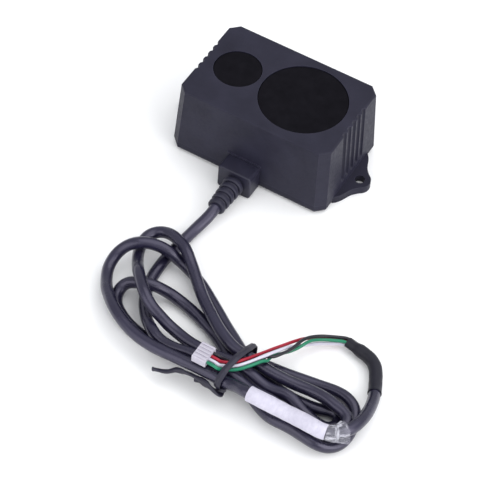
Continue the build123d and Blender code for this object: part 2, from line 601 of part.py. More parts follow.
# -------------------------------------------------------------- captive lead
# Centre lines of the lead as coiled for storage. Columns of every table: x, y, z.
lead_path = [
    (-0.3, -36.2, 4.6), (-0.49, -38.88, 4.12), (-1.01, -41.48, 3.38), (-1.67, -44.1, 2.72),
    (-2.24, -46.82, 2.28), (-2.66, -49.63, 2.07), (-3, -52.49, 2.02), (-3.3, -55.34, 2.02),
    (-3.6, -58.16, 2.02), (-3.74, -60.97, 2.02), (-3.68, -63.8, 2.02), (-3.53, -66.62, 2.02),
    (-3.16, -69.44, 2.02), (-2.46, -72.26, 2.02), (-1.43, -75.1, 2.18), (-0.07, -77.93, 2.78),
    (1.66, -80.67, 3.45), (3.65, -83.27, 4.17), (5.82, -85.63, 5.09), (8.1, -87.61, 6),
    (10.39, -89.14, 6.28), (12.78, -90.09, 6.23), (15.29, -90.51, 6.35), (17.85, -90.61, 6.67),
    (20.48, -90.49, 7.12), (23.23, -90.36, 7.59), (26.07, -90.33, 7.96), (28.94, -90.32, 8.16),
    (31.79, -90.25, 8.23), (34.61, -90.21, 8.13), (37.38, -90.4, 7.76), (40.12, -90.9, 7.25),
    (42.87, -91.49, 6.96), (45.66, -91.87, 6.97), (48.47, -91.85, 6.94), (51.17, -91.5, 6.39),
    (53.51, -91.17, 5.02), (55.63, -91.23, 3.31), (58, -91.78, 2.26), (60.59, -92.42, 2.06),
    (63.22, -92.83, 2.45), (65.74, -92.76, 3.39), (68.14, -92.19, 4.48), (70.47, -91.24, 5.29),
    (72.4, -89.62, 5.85), (73.23, -87.25, 6.14), (72.29, -84.93, 6.2), (70.06, -83.7, 6.27),
    (67.54, -83.1, 6.32), (64.88, -82.44, 6.26), (62.05, -81.95, 6.01), (59.17, -81.8, 5.74),
    (56.32, -81.92, 5.59), (53.51, -82.19, 5.64), (50.75, -82.45, 5.87), (48.02, -82.59, 6.09),
    (45.29, -82.55, 6.27), (42.58, -82.32, 6.49), (39.88, -82.03, 6.72), (37.13, -81.81, 6.86),
    (34.35, -81.54, 6.84), (31.63, -80.77, 6.76), (29.01, -79.51, 6.65), (26.47, -78, 6.52),
    (24.02, -76.38, 6.38), (21.65, -74.65, 6.21), (19.34, -72.87, 6.02), (17.07, -71.07, 5.91),
    (14.84, -69.25, 5.9), (12.72, -67.39, 5.99), (10.71, -65.48, 6.14), (8.77, -63.59, 6.31),
    (6.85, -61.77, 6.54), (4.89, -60.06, 6.93), (2.88, -58.38, 7.4), (0.65, -56.74, 7.46),
    (-1.83, -55.37, 6.99), (-4.36, -54.2, 6.32), (-6.91, -53.53, 5.5), (-9.4, -53.81, 4.73),
    (-11.35, -55.44, 4.28), (-12.17, -58.02, 4.09), (-11.94, -60.89, 4.07), (-11.02, -63.73, 4.3),
    (-9.68, -66.45, 5.02), (-8.18, -69.01, 6.17), (-6.68, -71.33, 7.74), (-5.2, -73.5, 9.36),
    (-3.53, -75.61, 10.19), (-1.82, -77.54, 10.72), (-0.04, -79.4, 11.06), (1.89, -81.12, 10.9),
    (4, -82.43, 10.15), (6.29, -83.16, 8.96), (8.62, -83.39, 7.56), (10.94, -83.64, 6.2),
    (13.45, -84.01, 5.42), (16.1, -84.6, 5.21), (18.83, -85.3, 5.35), (21.62, -85.91, 5.68),
    (24.45, -86.29, 6.02), (27.33, -86.4, 6.24), (30.21, -86.3, 6.5), (33.1, -86.08, 6.89),
    (35.99, -86.03, 7.17), (38.84, -86.26, 7.01), (41.6, -86.6, 6.44), (44.29, -87.02, 5.69),
    (47.02, -87.31, 5.22), (49.82, -87.27, 5.29), (52.65, -87.01, 5.63), (55.48, -87.22, 5.56),
    (58.14, -87.9, 4.77), (60.74, -88.34, 3.64), (63.39, -88.53, 2.62), (66.13, -88.7, 2.09),
    (68.68, -88.07, 2.02), (69.91, -85.87, 2.02), (68.94, -83.53, 2.02), (66.51, -82.82, 2.02),
    (63.85, -83.61, 2.02), (61.12, -84.28, 2.02), (58.33, -84.58, 2.02), (55.53, -84.72, 2.02),
    (52.74, -84.62, 2.02), (49.96, -84.32, 2.02), (47.19, -83.92, 2.03), (44.45, -83.62, 2.12),
    (41.73, -83.63, 2.42), (39.02, -83.83, 2.87), (36.26, -83.69, 3.07), (33.51, -82.91, 2.81),
    (30.92, -81.48, 2.53), (28.47, -79.8, 2.34), (26.04, -78.17, 2.18), (23.54, -76.75, 2.06),
    (20.95, -75.58, 2.02), (18.32, -74.55, 2.02), (15.68, -73.59, 2.02), (13.02, -72.71, 2.02),
    (10.32, -72, 2.08), (7.64, -71.63, 2.46), (5.12, -71.76, 3.34), (2.81, -72.4, 4.58),
    (0.46, -73.28, 5.75), (-2.14, -74.15, 6.12), (-4.83, -74.78, 5.34), (-7.29, -75.56, 4.29),
    (-8.68, -77.29, 3), (-8.6, -79.73, 2.14), (-7.4, -82.15, 2.02), (-5.43, -84.11, 2.02),
    (-3.07, -85.65, 2.02), (-0.53, -86.88, 2.02), (2.13, -87.82, 2.02), (4.87, -88.51, 2.02),
    (7.68, -88.83, 2.02), (10.5, -88.79, 2.02), (13.3, -88.77, 2.02), (16.1, -88.72, 2.02),
    (18.9, -88.55, 2.02), (21.7, -88.29, 2.02), (24.5, -87.93, 2.02), (27.31, -87.5, 2.05),
    (30.19, -87.25, 2.26), (33.09, -87.45, 2.79), (35.92, -87.93, 3.27), (38.62, -88.35, 3.19),
    (41.13, -89.14, 2.85), (43.52, -90.41, 2.66), (45.97, -91.81, 2.64), (48.58, -93.15, 2.83),
    (51.32, -94.42, 3.25), (54.2, -95.26, 3.83), (57.15, -95.55, 4.33), (60.07, -95.83, 4.74),
    (62.95, -96.29, 5.07), (65.78, -96.69, 5.11), (68.52, -96.51, 4.47), (70.96, -95.4, 3.39),
    (72.92, -93.38, 2.47), (74.14, -90.76, 2.06), (74.51, -87.87, 2.02), (74.32, -84.91, 2.02),
    (73.69, -81.99, 2.09), (72.34, -79.36, 2.36), (70.18, -77.42, 2.67), (67.51, -76.36, 2.71),
    (64.68, -76.01, 2.5), (61.89, -76.07, 2.24), (59.17, -76.37, 2.06), (56.49, -76.78, 2.02),
    (53.8, -77.22, 2.02), (51.09, -77.63, 2.02), (48.38, -77.98, 2.02), (45.68, -78.31, 2.08),
    (42.99, -78.75, 2.31), (40.32, -79.29, 2.7), (37.63, -79.52, 3.06), (35.03, -78.91, 2.93),
    (32.61, -77.46, 2.48), (30.21, -75.78, 2.19), (27.8, -74.16, 2.07), (25.42, -72.61, 2.02),
    (23.07, -71.05, 2.02), (20.75, -69.46, 2.02), (18.44, -67.86, 2.02), (16.12, -66.27, 2.02),
    (13.76, -64.71, 2.02), (11.35, -63.21, 2.02), (8.85, -61.8, 2.03), (6.23, -60.59, 2.19),
    (3.55, -59.78, 2.75), (0.97, -59.61, 3.83), (-1.33, -59.91, 5.43), (-3.69, -60.32, 6.81),
    (-6.18, -61.01, 7.75), (-8.66, -62.08, 8.37), (-11.06, -63.49, 8.51), (-13.23, -65.09, 7.83),
    (-14.9, -66.94, 6.51), (-15.85, -69.14, 5.12), (-15.97, -71.68, 4.13), (-15.36, -74.34, 3.74),
    (-14.14, -76.9, 3.83), (-12.69, -79.32, 4.35), (-11.11, -81.54, 5.13), (-9.33, -83.5, 5.78),
    (-7.49, -85.34, 6.41), (-5.52, -87.09, 6.96), (-3.32, -88.69, 7.27), (-0.91, -90.09, 7.34),
    (1.65, -91.33, 7.3), (4.34, -92.39, 7.28), (7.16, -93.22, 7.37), (10.08, -93.82, 7.61),
    (13.05, -94.26, 7.96), (16.04, -94.5, 8.32), (19.02, -94.57, 8.59), (21.98, -94.54, 8.78),
    (24.91, -94.53, 8.97), (27.81, -94.55, 9.11), (30.67, -94.54, 9.1), (33.47, -94.5, 8.91),
    (36.19, -94.52, 8.8), (38.75, -94.68, 9.2), (41.03, -95.18, 10.26), (43.12, -95.99, 11.56),
    (45.37, -96.74, 12.57), (47.92, -96.94, 12.77), (50.47, -96.51, 12.11), (52.97, -95.87, 11.12),
    (55.55, -95.38, 10.35), (58.26, -95.19, 10.04), (61.04, -95.22, 10.12), (63.85, -95.32, 10.25),
    (66.65, -95.38, 10.15), (69.39, -95.21, 9.87), (72.01, -94.41, 9.73), (74.27, -92.76, 9.77),
    (75.82, -90.34, 9.55), (76.61, -87.48, 8.92), (76.84, -84.53, 8.02), (76.71, -81.61, 6.98),
    (76.33, -78.76, 5.92), (75.78, -75.96, 4.89), (75.03, -73.22, 3.96), (74.06, -70.53, 3.21),
    (72.91, -67.88, 2.68), (71.68, -65.26, 2.42), (70.26, -62.75, 2.37), (68.29, -60.69, 2.37),
    (65.67, -59.52, 2.37), (62.74, -58.89, 2.4),
]
sleeve_path = [
    (74.34, -71.25, 3.39), (73.4, -68.99, 2.87), (72.38, -66.73, 2.54), (71.28, -64.48, 2.39),
    (69.97, -62.34, 2.37), (68.16, -60.61, 2.37), (65.88, -59.58, 2.37), (63.44, -59.02, 2.39),
    (60.97, -58.6, 2.47), (58.5, -58.2, 2.59),
]
label_path = [
    (46.4, -96.9, 12.76), (48.47, -96.89, 12.69), (50.44, -96.52, 12.12), (52.31, -96.03, 11.38),
    (54.22, -95.59, 10.7), (56.22, -95.3, 10.23), (58.28, -95.19, 10.04), (60.35, -95.2, 10.08),
    (62.42, -95.27, 10.2), (64.49, -95.35, 10.25), (66.56, -95.38, 10.15), (68.63, -95.3, 9.94),
    (70.66, -94.93, 9.77),
]
film_path = [
    (70.71, -94.91, 9.77), (72.02, -94.41, 9.73), (73.23, -93.68, 9.75), (74.29, -92.74, 9.77),
    (75.14, -91.62, 9.71),
]
# the four wires from the sleeve to the plug
wire_paths = {
    "wire_black": [
        (62.57, -58.24, 3.03), (61.45, -58.01, 3.08), (60.33, -57.78, 3.13),
        (59.21, -57.55, 3.19), (57.88, -57.64, 3.29), (56.2, -58.43, 3.46), (54.51, -59.38, 3.62),
        (52.93, -60.35, 3.8), (51.74, -61.2, 4.02), (50.9, -62.02, 4.32), (50.22, -62.9, 4.72),
        (49.61, -63.84, 5.15), (49.06, -64.83, 5.59), (48.61, -65.88, 6.01), (48.27, -66.99, 6.42),
        (48.01, -68.16, 6.84), (47.85, -69.39, 7.22), (47.7, -70.64, 7.5), (47.52, -71.88, 7.67),
        (47.28, -73.07, 7.83), (46.95, -74.22, 8.04), (46.56, -75.34, 8.32), (46.13, -76.44, 8.61),
        (45.7, -77.54, 8.89), (45.23, -78.59, 9.11), (44.63, -79.52, 9.32), (43.81, -80.19, 9.53),
        (42.88, -80.79, 9.43), (42.34, -81.71, 9.16), (41.92, -82.72, 9.17), (41.37, -83.64, 9.27),
        (40.78, -84.52, 9.48), (40.2, -85.38, 9.74), (39.61, -86.2, 9.93), (38.93, -86.91, 9.9),
        (38.1, -87.4, 9.68), (37.19, -87.68, 9.35), (36.2, -87.8, 9.16), (35.2, -87.88, 9.31),
        (34.3, -88.17, 9.81), (33.57, -88.68, 10.52), (33.07, -89.24, 11.36),
        (32.58, -89.78, 12.18), (31.81, -90.16, 12.77), (30.78, -90.25, 12.9),
        (30.24, -90.24, 12.9),
    ],
    "wire_green": [
        (62.37, -59.46, 3.03), (61.24, -59.32, 3.08), (60.11, -59.18, 3.13),
        (58.98, -59.04, 3.19), (57.67, -59.2, 3.3), (56.07, -60.02, 3.51), (54.5, -61.01, 3.75),
        (53.02, -62.04, 4.01), (51.92, -63, 4.34), (51.12, -63.96, 4.77), (50.47, -64.96, 5.26),
        (49.93, -66.02, 5.74), (49.51, -67.13, 6.11), (49.17, -68.26, 6.3), (48.8, -69.38, 6.34),
        (48.37, -70.46, 6.33), (47.86, -71.52, 6.36), (47.26, -72.57, 6.43), (46.63, -73.6, 6.54),
        (45.98, -74.6, 6.71), (45.33, -75.59, 6.97), (44.71, -76.6, 7.3), (44.19, -77.65, 7.66),
        (43.82, -78.79, 7.99), (43.69, -80.07, 8.26), (43.73, -81.39, 8.83), (43.37, -82.44, 9.69),
        (42.92, -83.49, 10.26), (42.47, -84.54, 10.61), (42, -85.59, 10.85),
        (41.49, -86.61, 11.05), (40.95, -87.58, 11.2), (40.34, -88.48, 11.23),
        (39.66, -89.26, 11.1), (38.87, -89.92, 10.87), (37.99, -90.52, 10.66),
        (37.05, -91.13, 10.59), (36.09, -91.79, 10.74), (35.21, -92.53, 11.12),
        (34.58, -93.32, 11.7), (34.2, -93.99, 12.45), (33.71, -94.36, 13.13),
        (32.87, -94.3, 13.26), (31.89, -94.07, 13), (30.79, -94, 12.9), (30.22, -93.99, 12.9),
    ],
    "wire_white": [
        (62.31, -59.45, 1.79), (61.18, -59.31, 1.84), (60.04, -59.17, 1.9), (58.91, -59.03, 1.95),
        (57.63, -59.18, 2.01), (56.13, -60, 2.11), (54.66, -60.98, 2.24), (53.28, -61.99, 2.41),
        (52.23, -62.91, 2.67), (51.44, -63.81, 3.03), (50.76, -64.75, 3.44), (50.11, -65.73, 3.86),
        (49.46, -66.71, 4.28), (48.78, -67.69, 4.7), (48.11, -68.68, 5.13), (47.48, -69.67, 5.58),
        (46.89, -70.65, 6.1), (46.38, -71.66, 6.69), (45.96, -72.73, 7.3), (45.59, -73.86, 7.87),
        (45.24, -75.02, 8.42), (44.89, -76.19, 8.97), (44.55, -77.36, 9.54),
        (44.24, -78.53, 10.14), (43.92, -79.65, 10.66), (43.46, -80.68, 10.81),
        (42.87, -81.51, 10.67), (42.22, -82.25, 10.52), (41.7, -83.12, 10.5),
        (41.25, -84.07, 10.65), (40.81, -85.04, 10.86), (40.35, -85.99, 11.06),
        (39.84, -86.91, 11.2), (39.27, -87.75, 11.21), (38.61, -88.47, 11.08),
        (37.83, -89.08, 10.87), (36.98, -89.64, 10.69), (36.06, -90.21, 10.65),
        (35.13, -90.83, 10.79), (34.35, -91.52, 11.15), (33.86, -92.19, 11.75),
        (33.47, -92.66, 12.47), (32.78, -92.84, 12.94), (31.84, -92.78, 12.95),
        (30.77, -92.75, 12.9), (30.23, -92.74, 12.9),
    ],
    "wire_red": [
        (62.5, -58.23, 1.79), (61.39, -58, 1.84), (60.27, -57.77, 1.9), (59.15, -57.54, 1.95),
        (57.8, -57.66, 2.01), (56.05, -58.52, 2.12), (54.3, -59.53, 2.26), (52.65, -60.55, 2.43),
        (51.42, -61.38, 2.64), (50.51, -62.13, 2.97), (49.76, -62.91, 3.39), (49.08, -63.73, 3.86),
        (48.43, -64.58, 4.34), (47.84, -65.48, 4.8), (47.31, -66.42, 5.21), (46.83, -67.4, 5.58),
        (46.38, -68.39, 5.94), (45.94, -69.38, 6.29), (45.53, -70.38, 6.62), (45.1, -71.38, 6.92),
        (44.64, -72.38, 7.19), (44.17, -73.38, 7.44), (43.68, -74.37, 7.67), (43.19, -75.37, 7.89),
        (42.72, -76.36, 8.12), (42.26, -77.37, 8.36), (41.81, -78.37, 8.61), (41.37, -79.39, 8.86),
        (40.93, -80.4, 9.13), (40.49, -81.42, 9.4), (40.05, -82.44, 9.68), (39.62, -83.47, 9.97),
        (39.19, -84.49, 10.27), (38.73, -85.48, 10.59), (38.24, -86.43, 10.87),
        (37.71, -87.31, 10.95), (37.03, -88.02, 10.84), (36.22, -88.58, 10.66),
        (35.33, -89.11, 10.59), (34.43, -89.7, 10.76), (33.7, -90.35, 11.16), (33.22, -90.93, 11.8),
        (32.67, -91.31, 12.47), (31.82, -91.48, 12.85), (30.78, -91.5, 12.9), (30.24, -91.49, 12.9),
    ],
}


def cable_jacket():
    # starts between boot ribs 4 and 5, held straight through the last rib
    start = [(entry_x, rib_end_y(4) - rib_gap, entry_z), (entry_x, rib_end_y(5) + 0.75, entry_z)]
    return Compound(children=rod_lengths(Spline(start + lead_path), cable_r, 2.0, per_length=20))


def heat_shrink_sleeve():
    return one(run(sleeve_path, 2.20, cable_r + 0.13))


def cable_label():
    return one(run(label_path, 2.50, cable_bore_r))


def label_clear_film():
    return one(run(film_path, 2.42, cable_bore_r))


# ------------------------------------------------------------------ lead plug
# plug frame: x along the row of contacts, y up, z towards the wires
plug_frame = Plane(origin=(28.383, -92.105, 12.899), x_dir=(0.00625, 0.99998, 0),
                   z_dir=(0.99998, -0.00625, 0))
plug_length, plug_depth, plug_height = 6.2, 4.5, 2.7
contact_xs = [(i - 1.5) * contact_pitch for i in range(4)]


def plug_housing():
    plug = Box(plug_length, plug_height, plug_depth)
    plug = fillet(plug.edges().filter_by(Axis.Z), 0.25)
    for x in contact_xs:
        plug -= Pos(x, 0, plug_depth / 2) * Cylinder(0.60, 1.6)          # wire bore
        plug -= Pos(x, 0, -plug_depth / 2 + 1.2) * Box(0.7, 1.0, 2.6)    # contact slot
    for i in range(5):
        # ribs on the top
        plug += Pos((i - 2) * 1.2, plug_height / 2 + 0.1, 0) * Box(0.5, 0.4, plug_depth - 0.3)
    plug += Pos(0, -plug_height / 2 - 0.1, -0.6) * Box(3.2, 0.4, 1.4)    # locking bar
    return one(plug_frame * plug)


def plug_terminals():
    sleeve = Box(0.66, 0.96, 2.0) - Box(0.36, 0.66, 5)
    return Compound(children=[one(plug_frame * Pos(x, 0, -plug_depth / 2 + 1.3) * sleeve)
                              for x in contact_xs])


# ------------------------------------------------------------------ twist tie
# tie frame: x across the bundle, y down, z along the bundle
tie_frame = Plane(origin=(36.452, -86.272, 0), x_dir=(0.06175, 0.99809, 0),
                  z_dir=(-0.99809, 0.06175, 0))
band_t, band_width, band_clearance = 0.9, 2.2, 0.14
tie_end_r = 0.70
# circles the band wraps around: across, height, radius
strands = [(4.51, 6.86, cable_r), (2.52, 3.01, cable_r), (-1.62, 3.19, cable_r),
           (-1.81, 3.29, cable_r), (7.04, 3.01, cable_r), (-8.31, 8.82, cable_r),
           (-6.76, 11.40, wire_r), (-1.13, 10.94, wire_r), (8.2, 5.9, 0.8)]
# centre lines of the two ends from where they leave the band: x, y, z
tie_short_path = [
    (35.66, -96.31, 5.54), (34.69, -96.05, 4.61), (33, -95.49, 4.18), (31.12, -94.97, 3.76),
    (29.23, -94.63, 3.27), (27.33, -94.44, 2.79),
]
tie_long_path = [
    (37.11, -97.04, 5.3), (36.21, -97.88, 6.6), (34.65, -97.98, 7.7), (32.85, -97.57, 8.05),
    (30.97, -97.02, 8), (29.08, -96.9, 7.76), (27.22, -96.75, 7.49), (25.41, -96.77, 7.24),
    (23.64, -96.82, 6.84), (22.07, -96.98, 6.33), (20.77, -97.81, 5.73), (19.22, -98.37, 5.13),
    (17.42, -98.6, 4.62), (15.57, -98.88, 4.18),
]


def half_hull(points):
    # one side of the convex hull of sorted points, without its last point
    chain = []
    for p in points:
        while len(chain) > 1:
            (ax, ay), (bx, by) = chain[-2:]
            if (bx - ax) * (p[1] - ay) - (by - ay) * (p[0] - ax) > 1e-9:
                break
            chain.pop()
        chain.append(p)
    return chain[:-1]


def bundle_face(grow):
    # face inside the hull of all strands, each grown by grow
    points = []
    for across, height, r in strands:
        for k in range(72):
            angle = math.radians(5 * k)
            points.append((across + (r + grow) * math.cos(angle),
                           height + (r + grow) * math.sin(angle)))
    points = sorted(set(points))
    outline = half_hull(points) + half_hull(points[::-1])
    # the frame's y axis points down, so heights change sign
    return make_face(Polyline(*[(across, -height) for across, height in outline], close=True))


def twist_tie():
    inner, outer = bundle_face(band_clearance), bundle_face(band_clearance + band_t)
    band = extrude(outer, band_width / 2, both=True) - extrude(inner, band_width, both=True)
    ends = [run(path, tie_end_r, step=0.8) for path in (tie_short_path, tie_long_path)]
    return Compound(children=[one(tie_frame * band)] + ends)


# -------------------------------------------------------------------- export
def save(name, shape):
    export_step(shape, "parts/" + name + ".step")


os.makedirs("parts", exist_ok=True)

# each of these functions carries the name of its piece
for make in (front_housing, rear_cover, cover_gasket, cover_screws,
             receiver_lens_barrel, receiver_lens, receiver_lens_ring, bandpass_filter,
             barrel_foam_gasket, detector_chip,
             emitter_lens_holder, emitter_lens, emitter_lens_ring, emitter_board, emitter_diode,
             emitter_heat_spreader, thermal_pad, header_body, header_pins, optical_baffle,
             main_board, board_screws, capacitors, board_socket, inner_plug,
             cable_gland, cable_entry_stub, boot_rib_2, boot_rib_3, boot_rib_4, boot_rib_5,
             cable_jacket, heat_shrink_sleeve, cable_label, label_clear_film,
             plug_housing, plug_terminals, twist_tie):
    save(make.__name__, make())

for name, at, seat_r, aperture_r in (
        ("receiver_window", receiver, receiver_seat_r, receiver_aperture_r),
        ("emitter_window", emitter, emitter_seat_r, emitter_aperture_r)):
    save(name, window(at, seat_r))
    save(name + "_seal", window_seal(at, seat_r, aperture_r))

for name, sizes in packages.items():
    save(name, package(*sizes))

for index, (name, offset) in enumerate(inner_leads.items()):
    save(name, inner_lead(index, *offset))

for name, path in wire_paths.items():
    save(name, one(run(path, wire_r, step=0.8)))
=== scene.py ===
"""Single-point optical ranging module with a coiled lead.

The housing lies on the floor (z = 0, Z up). The lead leaves it towards -Y through a ribbed
boot, then lies in coils that run mostly along +X, held together by a twist tie. It ends in
a sleeve, from which four wires run back to the plug. The CAD pieces get their finishes
here; the lead, its wrappings and the boot necks are built as new meshes.
"""
import math

import bpy
import numpy as np
from mathutils import Matrix, Vector


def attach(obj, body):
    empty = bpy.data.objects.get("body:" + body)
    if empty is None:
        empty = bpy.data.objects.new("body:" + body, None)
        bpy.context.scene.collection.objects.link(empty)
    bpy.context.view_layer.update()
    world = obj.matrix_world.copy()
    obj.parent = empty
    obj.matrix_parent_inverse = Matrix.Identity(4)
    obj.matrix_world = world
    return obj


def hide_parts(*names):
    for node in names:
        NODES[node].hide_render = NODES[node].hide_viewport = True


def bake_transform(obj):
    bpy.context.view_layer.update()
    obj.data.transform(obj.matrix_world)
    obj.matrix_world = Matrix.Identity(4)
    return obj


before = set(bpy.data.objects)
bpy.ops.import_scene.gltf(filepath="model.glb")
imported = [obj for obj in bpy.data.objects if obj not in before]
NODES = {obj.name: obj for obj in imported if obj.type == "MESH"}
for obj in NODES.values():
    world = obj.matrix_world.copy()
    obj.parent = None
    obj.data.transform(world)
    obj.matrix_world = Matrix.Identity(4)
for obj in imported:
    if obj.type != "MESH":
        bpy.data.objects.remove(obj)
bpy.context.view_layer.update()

# Lengths are millimetres unless a comment says otherwise; MM turns them into metres.
MM = 0.001
FULL_TURN = 2 * np.pi

CABLE_RADIUS = 1.85
WIRE_RADIUS = 0.5

# ------------------------------------------------------- centre lines: x, y, z

